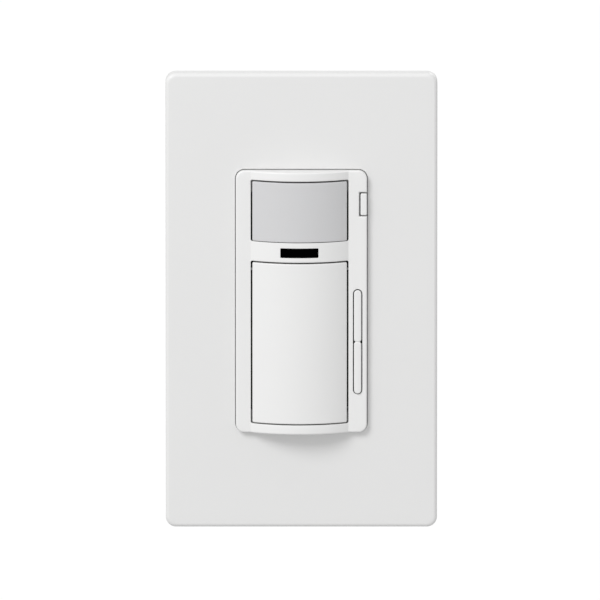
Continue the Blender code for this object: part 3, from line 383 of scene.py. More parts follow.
def fillCap(mesh, outer, holes, surface, grid, creases=()):
    # closes the region between rings of vertices with small triangles that follow the surface and its creases
    loops = [[(v.co.x, v.co.z) for v in ring] for ring in [outer, *holes]]
    ringVerts = [v for ring in [outer, *holes] for v in ring]
    points = [Vector(p) for loop in loops for p in loop]
    edges, first = [], 0
    for loop in loops:
        edges += [(first + i, first + (i + 1) % len(loop)) for i in range(len(loop))]
        first += len(loop)
    stepX, stepZ = grid
    margin = 0.45 * min(stepX, stepZ)
    keepIn = offsetLoop(loops[0], margin)
    keepOut = [offsetLoop(loop, -margin) for loop in loops[1:]]
    xs, zs = [x for x, _ in loops[0]], [z for _, z in loops[0]]
    for i in range(math.floor(min(xs) / stepX), math.ceil(max(xs) / stepX) + 1):
        for k in range(math.floor(min(zs) / stepZ), math.ceil(max(zs) / stepZ) + 1):
            x, z = i * stepX, k * stepZ
            if any(abs(x - crease) < 0.55 * stepX for crease in creases):
                continue
            if inLoop(keepIn, x, z) and not any(inLoop(loop, x, z) for loop in keepOut):
                points.append(Vector((x, z)))
    fine = 0.3 * min(stepX, stepZ)
    nearIn = offsetLoop(loops[0], 0.4 * fine)
    nearOut = [offsetLoop(loop, -0.4 * fine) for loop in loops[1:]]
    for x in creases:
        for k in range(math.floor(min(zs) / fine), math.ceil(max(zs) / fine) + 1):
            if inLoop(nearIn, x, k * fine) and not any(inLoop(loop, x, k * fine) for loop in nearOut):
                points.append(Vector((x, k * fine)))
    flat, _, faces, origins, _, _ = delaunay_2d_cdt(points, edges, [], 1, 1e-9)
    made = {}
    for face in faces:
        middle = sum((flat[i] for i in face), Vector((0, 0))) / len(face)
        if not inLoop(loops[0], *middle) or any(inLoop(loop, *middle) for loop in loops[1:]):
            continue
        corners = []
        for i in face:
            if i not in made:
                old = [o for o in origins[i] if o < len(ringVerts)]
                x, z = flat[i]
                made[i] = ringVerts[old[0]] if old else mesh.verts.new((x, surface(x, z), z))
            corners.append(made[i])
        mesh.faces.new(corners)


def bridge(mesh, rings):
    for low, high in zip(rings, rings[1:]):
        for i in range(len(low)):
            j = (i + 1) % len(low)
            mesh.faces.new((low[i], low[j], high[j], high[i]))


def ringAt(mesh, loop, height):
    return [mesh.verts.new((x, height(x, z), z)) for x, z in loop]


def roundedRings(mesh, loop, surface, radius, steps, outward=1):
    # from the foot of the rounding, on the side wall, up to the front surface
    rings = []
    for k in range(steps + 1):
        t = math.pi / 2 * k / steps
        inset, depth = radius * (1 - math.cos(t)), radius * (1 - math.sin(t))
        rings.append(ringAt(mesh, offsetLoop(loop, outward * inset), lambda x, z: surface(x, z) + depth))
    return rings


def addShell(mesh, look, outer, holes, surface, inner=None, innerLoop=None):
    # a front with round edges and holes; a wall runs back to the rim
    # the inside is hollow if inner is given
    steps = look.get("roundSteps", 4)
    front = roundedRings(mesh, outer, surface, look["rounding"], steps)
    holeFronts = [roundedRings(mesh, loop, surface, look["holeRounding"], 3, -1) for loop in holes]
    rim = ringAt(mesh, outer, lambda x, z: look["rim"])
    bridge(mesh, [rim, *front])
    fillCap(mesh, front[-1], [rings[-1] for rings in holeFronts], surface, look["grid"],
            look.get("creases", ()))
    if inner is None:
        back, backSurface = rim, lambda x, z: look["rim"]
    else:
        wallLoop = innerLoop or offsetLoop(outer, look["wall"])
        foot = ringAt(mesh, wallLoop, lambda x, z: look["rim"])
        back, backSurface = ringAt(mesh, wallLoop, inner), inner
        if innerLoop:
            fillCap(mesh, rim, [foot], lambda x, z: look["rim"], look["grid"])
        else:
            bridge(mesh, [rim, foot])
        bridge(mesh, [foot, back])
    holeBacks = [ringAt(mesh, loop, backSurface) for loop in holes]
    for rings, behind in zip(holeFronts, holeBacks):
        bridge(mesh, [behind, *rings])
    fillCap(mesh, back, holeBacks, backSurface, look.get("backGrid", look["grid"]))


def addBlock(mesh, x, y, z, edge=0.15 * mm):
    made = bmesh.ops.create_cube(mesh, size=1)["verts"]
    spans = [sorted(span) for span in (x, y, z)]
    for vert in made:
        vert.co = [low + (high - low) * (place + 0.5) for (low, high), place in zip(spans, vert.co)]
    edges = list({e for v in made for e in v.link_edges})
    bmesh.ops.bevel(mesh, geom=edges, offset=edge, segments=2, profile=0.5, affect="EDGES")


def addTurned(mesh, profile, middle, axis="Y", sides=40):
    # profile is (radius, place along the axis) from one end to the other; middle is the two other coordinates
    rings = []
    for radius, along in profile:
        ring = []
        for i in range(sides):
            t = math.tau * i / sides
            a, b = middle[0] + radius * math.cos(t), middle[1] + radius * math.sin(t)
            ring.append(mesh.verts.new({"X": (along, a, b), "Y": (a, along, b), "Z": (a, b, along)}[axis]))
        rings.append(ring)
    bridge(mesh, rings)
    mesh.faces.new(rings[0])
    mesh.faces.new(rings[-1])


def plainMesh(source):
    # the evaluated shape of an object as a plain mesh; the object itself is thrown away
    bpy.context.view_layer.update()
    shape = source.evaluated_get(bpy.context.evaluated_depsgraph_get())
    data = bpy.data.meshes.new_from_object(shape)
    bpy.data.objects.remove(source)
    return data


def standIn(name, mesh=None):
    data = bpy.data.meshes.new(name)
    if mesh:
        bmesh.ops.recalc_face_normals(mesh, faces=mesh.faces)
        mesh.to_mesh(data)
        mesh.free()
    helper = bpy.data.objects.new(name, data)
    bpy.context.scene.collection.objects.link(helper)
    return helper


def carved(mesh, cutters):  # cuts each (x, y, z) block out of the shape
    body = standIn("carving", mesh)
    tools = []
    for spans in cutters:
        block = bmesh.new()
        addBlock(block, *spans, 0.04 * mm)
        tools.append(standIn("cutter", block))
        step = body.modifiers.new("Cut", "BOOLEAN")
        step.operation, step.solver, step.object = "DIFFERENCE", "EXACT", tools[-1]
    data = plainMesh(body)
    for tool in tools:
        bpy.data.objects.remove(tool)
    fresh = bmesh.new()
    fresh.from_mesh(data)
    return fresh


def newPiece(name, mesh, finish, stands, sharp=38, weighted=True):
    # stands are the CAD nodes that this piece replaces; it rides on their body
    bmesh.ops.recalc_face_normals(mesh, faces=mesh.faces)
    data = bpy.data.meshes.new(name)
    mesh.to_mesh(data)
    mesh.free()
    piece = bpy.data.objects.new(name, data)
    bpy.context.scene.collection.objects.link(piece)
    return dress(piece, finish, stands, sharp, weighted)


def dress(piece, finish, stands, sharp=38, weighted=True):
    piece.data.materials.clear()
    piece.data.materials.append(finishes[finish])
    piece.data.shade_smooth()
    piece.data.set_sharp_from_angle(angle=math.radians(sharp))
    if weighted:
        tidy = piece.modifiers.new("Even normals", "WEIGHTED_NORMAL")
        tidy.keep_sharp = True
    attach(piece, bodyOf[stands[0]])
    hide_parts(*stands)
    shown.update(stands)
    return piece


def span(node, axis, grow=0.0):
    low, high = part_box(node)
    return low[axis] - grow, high[axis] + grow


def jointNamed(name):
    return next(joint for joint in frame["joints"] if joint["name"] == name)


# The face that the bezel, lens, pad and tab share: a crown between two flat cheeks

face = {"apex": span("front_bezel", 1)[0], "cheek": -7.3 * mm, "middle": -0.45 * mm, "half": 12.4 * mm}
faceRise = face["cheek"] - face["apex"]
faceRadius = (face["half"] ** 2 + faceRise ** 2) / (2 * faceRise)
faceCreases = (face["middle"] - face["half"], face["middle"] + face["half"])


def faceAt(x, z, behind=0.0):
    across = x - face["middle"]
    crown = face["apex"] + faceRadius - math.sqrt(max((faceRadius - behind) ** 2 - across ** 2, 0))
    return min(crown, face["cheek"] + behind)


# Wallplate cover

coverLook = {
    "corner": 2.6 * mm, "rounding": 1.0 * mm, "roundSteps": 6, "holeRounding": 0.25 * mm,
    "wall": 1.5 * mm, "rim": 0.0, "openingGap": 0.15 * mm, "openingCorner": 2.35 * mm,
    "grid": (3.0 * mm, 3.0 * mm), "spacing": 3.0 * mm, "skin": 1.5 * mm,
    "clip": (4.0 * mm, (-1.9 * mm, -1.9 * mm + 1.1 * mm), 0.3 * mm, 0.35 * mm),
    "clipPlaces": (-40 * mm, -14 * mm, 14 * mm, 40 * mm), "pryNotch": (4.0 * mm, 1.2 * mm),
}


def makeCover():
    x, z = span("wallplate_cover", 0), span("wallplate_cover", 2)
    front = span("wallplate_cover", 1)[0]
    outer = rectPath(x, z, coverLook["corner"], coverLook["spacing"], 10)
    gap = coverLook["openingGap"]
    hole = rectPath(span("front_bezel", 0, gap), span("front_bezel", 2, gap), coverLook["openingCorner"],
                    2 * mm, 8)
    mesh = bmesh.new()
    addShell(mesh, coverLook, outer, [hole], lambda x, z: front, lambda x, z: front + coverLook["skin"])
    long, clipY, sunk, proud = coverLook["clip"]
    for side in (-1, 1):  # clip ribs inside the long walls
        wallX = side * (x[1] - coverLook["wall"])
        for place in coverLook["clipPlaces"]:
            addBlock(mesh, (wallX + side * sunk, wallX - side * proud), clipY, (place - long, place + long),
                     0.12 * mm)
    halfPry, pryDeep = coverLook["pryNotch"]
    mesh = carved(mesh, [((-halfPry, halfPry), (-pryDeep, 1 * mm), (z[0] - 1 * mm, z[0] + 2.5 * mm))])
    newPiece("coverFront", mesh, "plateWhite", ["wallplate_cover"])


makeCover()
print("cover made")


# The rocker's sizes, which its slot in the bezel follows too

rockerLook = {
    "halfWidth": 0.93 * mm, "rounding": 0.2 * mm, "roundSteps": 4, "holeRounding": 0.1 * mm,
    "rim": face["cheek"] + 0.4 * mm, "grid": (0.3 * mm, 0.15 * mm), "spacing": 0.5 * mm,
    "nick": 0.36 * mm, "nickHeight": 1.0 * mm, "crown": 0.06 * mm, "crease": (0.26 * mm, 0.2 * mm),
    "leg": (1.0 * mm, 0.4 * mm), "hub": (0.42 * mm, 1.5 * mm, 0.9 * mm),
}


# Bezel: one curved front with windows for the lens, the bar, the pad and the rocker

bezelLook = {
    "corner": 2.2 * mm, "rounding": 0.42 * mm, "roundSteps": 5, "holeRounding": 0.16 * mm,
    "wall": 1.1 * mm, "skin": 1.3 * mm, "rim": span("front_bezel", 1)[1],
    "grid": (0.8 * mm, 1.6 * mm), "spacing": 0.8 * mm, "creases": faceCreases, "sharp": 28,
    "windowX": (-12.85 * mm, 11.95 * mm), "lensZ": (15.6 * mm, 31.35 * mm), "padZ": (-31.2 * mm, 10.6 * mm),
    "slotGap": 0.25 * mm, "notchGap": 0.3 * mm, "notchWall": 0.4 * mm, "insideCorner": 1.1 * mm,
    "bearing": (1.7 * mm, 0.25 * mm, 1.0 * mm, 1.1 * mm), "boss": (1.5 * mm, 2.4 * mm), "bossCap": 0.55 * mm,
    "notchDeep": 1.95 * mm, "windowCorner": 0.45 * mm, "barGap": 0.12 * mm, "barCorner": 0.2 * mm,
}


def slotPath(grow, spacing, nick=0.0):
    # the rocker's pill, with a nick on each side at its waist
    low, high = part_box("dimmer_rocker")
    halfWidth = rockerLook["halfWidth"] + grow
    middle, centre = high.x - rockerLook["halfWidth"], (low.z + high.z) / 2
    halfLength = (high.z - low.z) / 2 + grow
    left, right = middle - halfWidth, middle + halfWidth
    bend, halfNick = halfWidth * 0.999, rockerLook["nickHeight"] / 2
    corners = [(left, centre - halfLength, bend), (right, centre - halfLength, bend)]
    if nick:
        corners += [(right, centre - halfNick, 0), (right - nick, centre, 0), (right, centre + halfNick, 0)]
    corners += [(right, centre + halfLength, bend), (left, centre + halfLength, bend)]
    if nick:
        corners += [(left, centre + halfNick, 0), (left + nick, centre, 0), (left, centre - halfNick, 0)]
    return roundedPath(corners, spacing, 8)


def makeBezel():
    x, z = span("front_bezel", 0), span("front_bezel", 2)
    tabLow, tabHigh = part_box("air_gap_tab")
    gap, corner = bezelLook["notchGap"], bezelLook["corner"]
    notchX = x[1] - bezelLook["notchDeep"]
    outer = roundedPath([
        (x[0], z[0], corner), (x[1], z[0], corner), (x[1], tabLow.z - gap, 0), (notchX, tabLow.z - gap, 0),
        (notchX, tabHigh.z + gap, 0), (x[1], tabHigh.z + gap, 0), (x[1], z[1], corner), (x[0], z[1], corner),
    ], bezelLook["spacing"], 8)
    outer = pointsAt(outer, faceCreases)
    spacing, windowCorner, barCorner = bezelLook["spacing"], bezelLook["windowCorner"], bezelLook["barCorner"]
    barX, barZ = (span("indicator_window", axis, bezelLook["barGap"]) for axis in (0, 2))
    holes = [
        rectPath(bezelLook["windowX"], bezelLook["lensZ"], windowCorner, spacing, 4),
        rectPath(bezelLook["windowX"], bezelLook["padZ"], windowCorner, spacing, 4),
        rectPath(barX, barZ, barCorner, spacing, 3),
        slotPath(bezelLook["slotGap"], spacing),
    ]
    mesh = bmesh.new()
    wall, thin, bend = bezelLook["wall"], bezelLook["notchWall"], bezelLook["insideCorner"]
    inX, inZ = shrunk(x, wall), shrunk(z, wall)
    notchZ = (tabLow.z - gap - thin, tabHigh.z + gap + thin)
    inside = roundedPath([
        (inX[0], inZ[0], bend), (inX[1], inZ[0], bend), (inX[1], notchZ[0], 0), (notchX - thin, notchZ[0], 0),
        (notchX - thin, notchZ[1], 0), (inX[1], notchZ[1], 0), (inX[1], inZ[1], bend), (inX[0], inZ[1], bend),
    ], bezelLook["spacing"], 6)
    addShell(mesh, bezelLook, outer, holes, faceAt, lambda x, z: faceAt(x, z, bezelLook["skin"]), inside)
    _, pivotY, pivotZ = jointNamed("pad_press")["pos_m"]
    reach, room, halfHeight, deep = bezelLook["bearing"]
    padLow, padHigh = span("push_pad", 0)
    mesh = carved(mesh, [
        (seatX, (pivotY - deep, pivotY + 2 * deep), (pivotZ - halfHeight, pivotZ + halfHeight))
        for seatX in ((padLow - room, padLow + reach), (padHigh - reach, padHigh + room))
    ])
    for number in range(1, 5):
        low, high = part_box(f"housing_screw_{number}")
        middle = ((low.x + high.x) / 2, (low.z + high.z) / 2)
        bore, boss = bezelLook["boss"]
        tip = low.y - bezelLook["bossCap"]
        addTurned(mesh, [(bore, bezelLook["rim"]), (boss, bezelLook["rim"]), (boss, tip), (bore, tip)], middle,
                  "Y", 24)
    newPiece("bezelFront", mesh, "bezelWhite", ["front_bezel"], bezelLook["sharp"])


makeBezel()
print("bezel made")


# Sensor lens: a milky curved tray with fine facets inside

lensLook = {
    "corner": 0.35 * mm, "rounding": 0.22 * mm, "holeRounding": 0.1 * mm, "wall": 1.0 * mm, "skin": 1.1 * mm,
    "rim": span("sensor_lens", 1)[1], "grid": (0.8 * mm, 1.2 * mm), "spacing": 0.8 * mm,
    "facets": 9, "facetDepth": 0.12 * mm, "insideCorner": 0.3 * mm,
}


def makeLens():
    lensX, lensZ = span("sensor_lens", 0), span("sensor_lens", 2)
    outer = rectPath(lensX, lensZ, lensLook["corner"], lensLook["spacing"], 4)
    mesh = bmesh.new()
    pitch = (lensX[1] - lensX[0]) / lensLook["facets"]

    def facetBack(x, z):
        share = (x / pitch) % 1
        return faceAt(x, z, lensLook["skin"]) - lensLook["facetDepth"] * share

    wall = lensLook["wall"]
    inside = rectPath(shrunk(lensX, wall), shrunk(lensZ, wall), lensLook["insideCorner"], lensLook["spacing"], 3)
    addShell(mesh, lensLook, outer, [], faceAt, facetBack, inside)
    newPiece("lensFront", mesh, "lensMilk", ["sensor_lens"])


# Indicator bar

barLook = {"rounding": 0.12 * mm, "holeRounding": 0.1 * mm, "rim": span("indicator_window", 1)[1],
           "grid": (0.8 * mm, 0.8 * mm), "behind": 0.05 * mm, "corner": 0.18 * mm, "spacing": 0.8 * mm}


def makeBar():
    barX, barZ = span("indicator_window", 0), span("indicator_window", 2)
    outer = rectPath(barX, barZ, barLook["corner"], barLook["spacing"], 3)
    mesh = bmesh.new()
    addShell(mesh, barLook, outer, [], lambda x, z: faceAt(x, z) + barLook["behind"])
    newPiece("indicatorBar", mesh, "smokedBar", ["indicator_window"])


# Push pad

padLook = {
    "corner": 0.4 * mm, "rounding": 0.32 * mm, "roundSteps": 5, "holeRounding": 0.1 * mm, "wall": 1.2 * mm,
    "skin": 1.6 * mm, "rim": -6.6 * mm, "grid": (0.8 * mm, 1.8 * mm), "spacing": 0.8 * mm,
    "left": -12.45 * mm, "right": 11.55 * mm, "lug": (1.2 * mm, 1.2 * mm), "stub": 0.8 * mm,
    "neck": 0.3 * mm, "insideCorner": 0.4 * mm, "lugY": (0.5 * mm, 1.0 * mm),
}


def makePad():
    x, z = (padLook["left"], padLook["right"]), span("push_pad", 2)
    outer = rectPath(x, z, padLook["corner"], padLook["spacing"], 4)
    mesh = bmesh.new()
    wall = padLook["wall"]
    inside = rectPath(shrunk(x, wall), shrunk(z, wall), padLook["insideCorner"], padLook["spacing"], 3)
    addShell(mesh, padLook, outer, [], faceAt, lambda x, z: faceAt(x, z, padLook["skin"]), inside)
    _, pivotY, pivotZ = jointNamed("pad_press")["pos_m"]
    thick, half = padLook["lug"]
    ahead, behind = padLook["lugY"]
    lugY, lugZ = (padLook["rim"] - ahead, pivotY + behind), (pivotZ - half, pivotZ + half)
    stubX = span("push_pad", 0)
    stub, neck = padLook["stub"], padLook["neck"]
    for edge, end, side in ((x[0], stubX[0], 1), (x[1], stubX[1], -1)):
        addBlock(mesh, (edge, edge + side * thick), lugY, lugZ)
        addTurned(mesh, [(stub * 0.8, end), (stub, end + side * 0.15 * mm), (stub, edge - side * 0.6 * mm),
                         (neck, edge - side * 0.5 * mm), (neck, edge + side * 0.6 * mm)],
                  (pivotY, pivotZ), "X", 24)
    low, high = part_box("pad_switch_plunger")
    middle = ((low.x + high.x) / 2, (low.z + high.z) / 2)
    addTurned(mesh, [(1.3 * mm, low.y - 1.4 * mm), (1.3 * mm, low.y - 0.3 * mm), (1.1 * mm, low.y - 0.2 * mm)],
              middle, "Y", 32)
    newPiece("padFront", mesh, "padWhite", ["push_pad"])


makeLens()
makeBar()
makePad()
print("lens, bar and pad made")


# Dimmer rocker

def makeRocker():
    low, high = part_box("dimmer_rocker")
    middle, centre = high.x - rockerLook["halfWidth"], (low.z + high.z) / 2
    deep, reach = rockerLook["crease"]

    def crownAt(x, z):
        across = (x - middle) / rockerLook["halfWidth"]
        valley = max(0.0, 1 - abs(z - centre) / reach)
        return low.y + rockerLook["crown"] * across * across + deep * valley

    mesh = bmesh.new()
    addShell(mesh, rockerLook, slotPath(0.0, rockerLook["spacing"], rockerLook["nick"]), [], crownAt)
    _, pivotY, pivotZ = jointNamed("rocker_tilt")["pos_m"]
    x = (low.x + 0.01 * mm, high.x - 0.01 * mm)
    hubHalfWidth, hubHalfHeight, hubBack = rockerLook["hub"]  # kept clear of the nicks, which stay dark over the rocker pin behind them, painted black as shade
    addBlock(mesh, (middle - hubHalfWidth, middle + hubHalfWidth), (face["cheek"], pivotY + hubBack),
             (pivotZ - hubHalfHeight, pivotZ + hubHalfHeight))
    halfLeg, legDeep = rockerLook["leg"]
    for plunger in ("raise_switch_plunger", "lower_switch_plunger"):
        footLow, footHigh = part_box(plunger)
        footZ = (footLow.z + footHigh.z) / 2
        addBlock(mesh, x, (face["cheek"], rockerLook["rim"] + legDeep), (footZ - halfLeg, footZ + halfLeg),
                 0.12 * mm)
    newPiece("rockerBar", mesh, "padWhite", ["dimmer_rocker"], 30)


# Pull-out tab

tabLook = {"rounding": 0.22 * mm, "holeRounding": 0.1 * mm, "rim": -2.2 * mm, "proud": 0.12 * mm,
           "width": 1.6 * mm, "grid": (0.4 * mm, 0.8 * mm), "spacing": 0.4 * mm, "corner": 0.3 * mm,
           "arm": ((-3.3 * mm, -2.0 * mm), (22.3 * mm, 26.5 * mm)), "stem": (1.65 * mm, -3.2 * mm,
                                                                             (22.35 * mm, 24.3 * mm))}


def makeTab():
    low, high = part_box("air_gap_tab")
    left = high.x - tabLook["width"]
    outer = rectPath((left, high.x), (low.z, high.z), tabLook["corner"], tabLook["spacing"], 4)
    mesh = bmesh.new()
    addShell(mesh, tabLook, outer, [], lambda x, z: faceAt(x, z) - tabLook["proud"])
    addBlock(mesh, (low.x, left + 0.6 * mm), *tabLook["arm"])
    stemWidth, stemFront, stemZ = tabLook["stem"]
    addBlock(mesh, (low.x + 0.05 * mm, low.x + 0.05 * mm + stemWidth), (stemFront, high.y), stemZ)
    newPiece("pullTab", mesh, "bezelWhite", ["air_gap_tab"])


makeRocker()
makeTab()
print("rocker and tab made")


# Shape trees, for what repeats or follows a path

def shapeTree(name, takes):
    tree = bpy.data.node_groups.new(name, "GeometryNodeTree")
    kinds = {"number": "NodeSocketFloat", "count": "NodeSocketInt", "vector": "NodeSocketVector"}
    for label, kind in takes.items():
        tree.interface.new_socket(label, in_out="INPUT", socket_type=kinds[kind])
    tree.interface.new_socket("Finish", in_out="INPUT", socket_type="NodeSocketMaterial")
    tree.interface.new_socket("Shape", in_out="OUTPUT", socket_type="NodeSocketGeometry")
    return tree, tree.nodes.new("NodeGroupInput").outputs


def endTree(tree, given, shape):
    real = addNode(tree, "GeometryNodeRealizeInstances", {"Geometry": shape}).outputs[0]
    dressed = addNode(tree, "GeometryNodeSetMaterial", {"Geometry": real,
                                                        "Material": given["Finish"]}).outputs[0]
    tree.links.new(dressed, tree.nodes.new("NodeGroupOutput").inputs["Shape"])
    return tree


def threadTree():  # a ridge that winds up the shank
    tree, given = shapeTree("thread", {"Radius": "number", "Turns": "number", "Pitch": "number",
                                       "Depth": "number"})
    rise = mathNode(tree, "MULTIPLY", given["Turns"], given["Pitch"])
    path = addNode(tree, "GeometryNodeCurveSpiral", {
        "Resolution": 22, "Rotations": given["Turns"], "Start Radius": given["Radius"],
        "End Radius": given["Radius"], "Height": rise}).outputs[0]
    ridge = addNode(tree, "GeometryNodeCurvePrimitiveCircle",
                    {"Resolution": 6, "Radius": given["Depth"]}).outputs[0]
    tube = addNode(tree, "GeometryNodeCurveToMesh", {"Curve": path, "Profile Curve": ridge,
                                                     "Fill Caps": True}).outputs[0]
    return endTree(tree, given, tube)


def windingTree():  # a wire wound round a ring core that lies about the y axis
    takes = {"Middle": "number", "Across": "number", "Along": "number", "Sweep": "number", "Turns": "number",
             "Wire": "number"}
    tree, given = shapeTree("winding", takes)
    start = addNode(tree, "GeometryNodeCurvePrimitiveLine", {"Start": (0, 0, 0), "End": (1, 0, 0)}).outputs[0]
    path = addNode(tree, "GeometryNodeResampleCurve", {"Curve": start, "Count": 560}).outputs[0]
    place = addNode(tree, "GeometryNodeInputPosition").outputs[0]
    share = addNode(tree, "ShaderNodeSeparateXYZ", {0: place}).outputs[0]
    swept = mathNode(tree, "MULTIPLY", mathNode(tree, "SUBTRACT", share, 0.5), given["Sweep"])
    turn = mathNode(tree, "MULTIPLY", mathNode(tree, "MULTIPLY", share, given["Turns"]), math.tau)

    def squared(value):  # a sine or cosine pushed out towards a square's corners
        size = mathNode(tree, "POWER", mathNode(tree, "ABSOLUTE", value), 0.45)
        return mathNode(tree, "MULTIPLY", size, mathNode(tree, "SIGN", value))

    reach = mathNode(tree, "MULTIPLY_ADD", squared(mathNode(tree, "COSINE", turn)), given["Across"],
                     given["Middle"])
    depth = mathNode(tree, "MULTIPLY", squared(mathNode(tree, "SINE", turn)), given["Along"])
    x = mathNode(tree, "MULTIPLY", reach, mathNode(tree, "COSINE", swept))
    z = mathNode(tree, "MULTIPLY", reach, mathNode(tree, "SINE", swept))
    place = addNode(tree, "ShaderNodeCombineXYZ", {"X": x, "Y": depth, "Z": z}).outputs[0]
    moved = addNode(tree, "GeometryNodeSetPosition", {"Geometry": path, "Position": place}).outputs[0]
    wire = addNode(tree, "GeometryNodeCurvePrimitiveCircle",
                   {"Resolution": 8, "Radius": given["Wire"]}).outputs[0]
    tube = addNode(tree, "GeometryNodeCurveToMesh", {"Curve": moved, "Profile Curve": wire,
                                                     "Fill Caps": True}).outputs[0]
    return endTree(tree, given, tube)


def rowTree():  # bars in a row, such as the pins of a header
    takes = {"Count": "count", "First": "vector", "Step": "vector", "Size": "vector"}
    tree, given = shapeTree("row", takes)
    line = addNode(tree, "GeometryNodeMeshLine", {"Count": given["Count"], "Start Location": given["First"],
                                                  "Offset": given["Step"]}, mode="OFFSET").outputs[0]
    bar = addNode(tree, "GeometryNodeMeshCube", {"Size": given["Size"]}).outputs[0]
    bars = addNode(tree, "GeometryNodeInstanceOnPoints", {"Points": line, "Instance": bar}).outputs[0]
    return endTree(tree, given, bars)


threadShape, windingShape, rowShape = threadTree(), windingTree(), rowTree()


def addGrown(mesh, tree, finish, values, matrix=None):
    # grows the tree's shape with these named values, as plain mesh, and adds it
    helper = standIn("growing")
    step = helper.modifiers.new("Grow", "NODES")
    step.node_group = tree
    for item in tree.interface.items_tree:
        if item.in_out == "INPUT":
            step[item.identifier] = finishes[finish] if item.name == "Finish" else values[item.name]
    data = plainMesh(helper)
    if matrix:
        data.transform(matrix)
    mesh.from_mesh(data)
    bpy.data.meshes.remove(data)


print("shape trees made")


# Screws: turned heads with their drive cut in, on threaded shanks

screwKinds = {
    # profile: (radius, depth below the top of the head); drive: half length, half width and depth of each cut
    "sunk": {"profile": [(2.45, 0.0), (2.7, 0.08), (2.75, 0.2), (1.6, 1.35)], "shank": 1.38, "ridge": 0.17,
             "pitch": 0.79, "drive": [(4.0, 0.42, 0.65)], "finish": "screwZinc"},
    "pan": {"profile": [(1.2, 0.0), (2.1, 0.1), (2.75, 0.38), (3.1, 0.8), (3.2, 1.15), (3.2, 1.7), (3.12, 1.8)],
            "shank": 1.42, "ridge": 0.17, "pitch": 0.79, "drive": [(4.0, 0.38, 0.85), (0.38, 1.8, 0.95)],
            "finish": "screwZinc"},
    "ground": {"profile": [(2.4, 0.0), (2.75, 0.1), (3.2, 0.5), (3.2, 1.62), (3.12, 1.7)], "shank": 1.42,
               "ridge": 0.17, "pitch": 0.79, "drive": [(4.5, 0.4, 0.8)], "finish": "groundGreen"},
    "wire": {"profile": [(2.3, 0.0), (2.6, 0.08), (3.0, 0.35), (3.1, 0.6), (3.1, 1.52), (3.02, 1.6)],
             "shank": 1.45,
             "ridge": 0.18, "pitch": 0.79, "drive": [(4.5, 0.44, 0.75)], "finish": "stampedBrass"},
    "long": {"profile": [(1.3, 0.0), (2.0, 0.12), (2.4, 0.42), (2.6, 0.8), (2.6, 1.52), (2.52, 1.6)],
             "shank": 1.02,
             "ridge": 0.13, "pitch": 0.7, "drive": [(1.5, 0.34, 0.95),
                                                    (0.34, 1.5, 0.95)], "finish": "screwZinc"},
}
screwPlaces = {
    "plate_screw_top": ("sunk", (0, -1, 0)), "plate_screw_bottom": ("sunk", (0, -1, 0)),
    "box_screw_top": ("pan", (0, -1, 0)), "box_screw_bottom": ("pan", (0, -1, 0)), "ground_screw": ("ground",
                                                                                                    (-1, 0, 0)),
    "line_terminal_screw": ("wire", (1, 0, 0)), "load_terminal_screw": ("wire", (1, 0, 0)),
    "neutral_terminal_screw": ("wire", (-1, 0, 0)), "traveller_terminal_screw": ("wire", (-1, 0, 0)),
    "housing_screw_1": ("long", (0, 1, 0)), "housing_screw_2": ("long", (0, 1, 0)),
    "housing_screw_3": ("long", (0, 1, 0)), "housing_screw_4": ("long", (0, 1, 0)),
}


def makeScrew(node, kind, towards):
    look = screwKinds[kind]
    low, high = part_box(node)
    axis = [abs(value) for value in towards].index(1)
    length = high[axis] - low[axis]
    foot = (low + high) / 2
    foot[axis] = low[axis] if towards[axis] > 0 else high[axis]
    under = length - look["profile"][-1][1] * mm
    shank, point = look["shank"] * mm, 0.5 * mm
    # from the tip, at height 0, up the shank and over the head
    profile = [(shank * 0.62, 0.0), (shank, point)]
    if kind != "sunk":
        profile.append((shank, under))
    profile += [(radius * mm, length - depth * mm) for radius, depth in reversed(look["profile"])]
    mesh = bmesh.new()
    addTurned(mesh, profile, (0, 0), "Z", 48)
    cuts = [((-x * mm, x * mm), (-y * mm, y * mm), (length - deep * mm, length + 1 * mm)) for x, y,
            deep in look["drive"]]
    mesh = carved(mesh, cuts)
    turns = (under - point - 0.5 * mm) / (look["pitch"] * mm)
    rise = Matrix.Translation((0, 0, point))
    values = {"Radius": shank, "Turns": turns, "Pitch": look["pitch"] * mm, "Depth": look["ridge"] * mm}
    addGrown(mesh, threadShape, look["finish"], values, rise)
    mesh.transform(Matrix.Translation(foot) @ Vector(towards).to_track_quat("Z", "Y").to_matrix().to_4x4())
    finish = "screwZinc" if node == "neutral_terminal_screw" else look["finish"]
    newPiece(node + "_fine", mesh, finish, [node], 30)


for node, (kind, towards) in screwPlaces.items():
    makeScrew(node, kind, towards)
print("screws made:", len(screwPlaces))


# Round parts inside: detector can, capacitor, surge disc, choke and header

insideLook = {
    "can": [(3.2, 0.0), (3.62, 0.05), (3.95, 0.28), (4.05, 0.55)], "canFlange": (4.6 * mm, 0.55 * mm),
    "filter": (2.6 * mm, 2.0 * mm, 0.55 * mm), "winding": {"Turns": 21.0, "Wire": 0.36 * mm,
                                                           "Sweep": math.radians(296)},
    "pin": 0.64 * mm, "pitch": 2.54 * mm, "pins": 6, "strip": (2.5 * mm, 2.2 * mm),
}


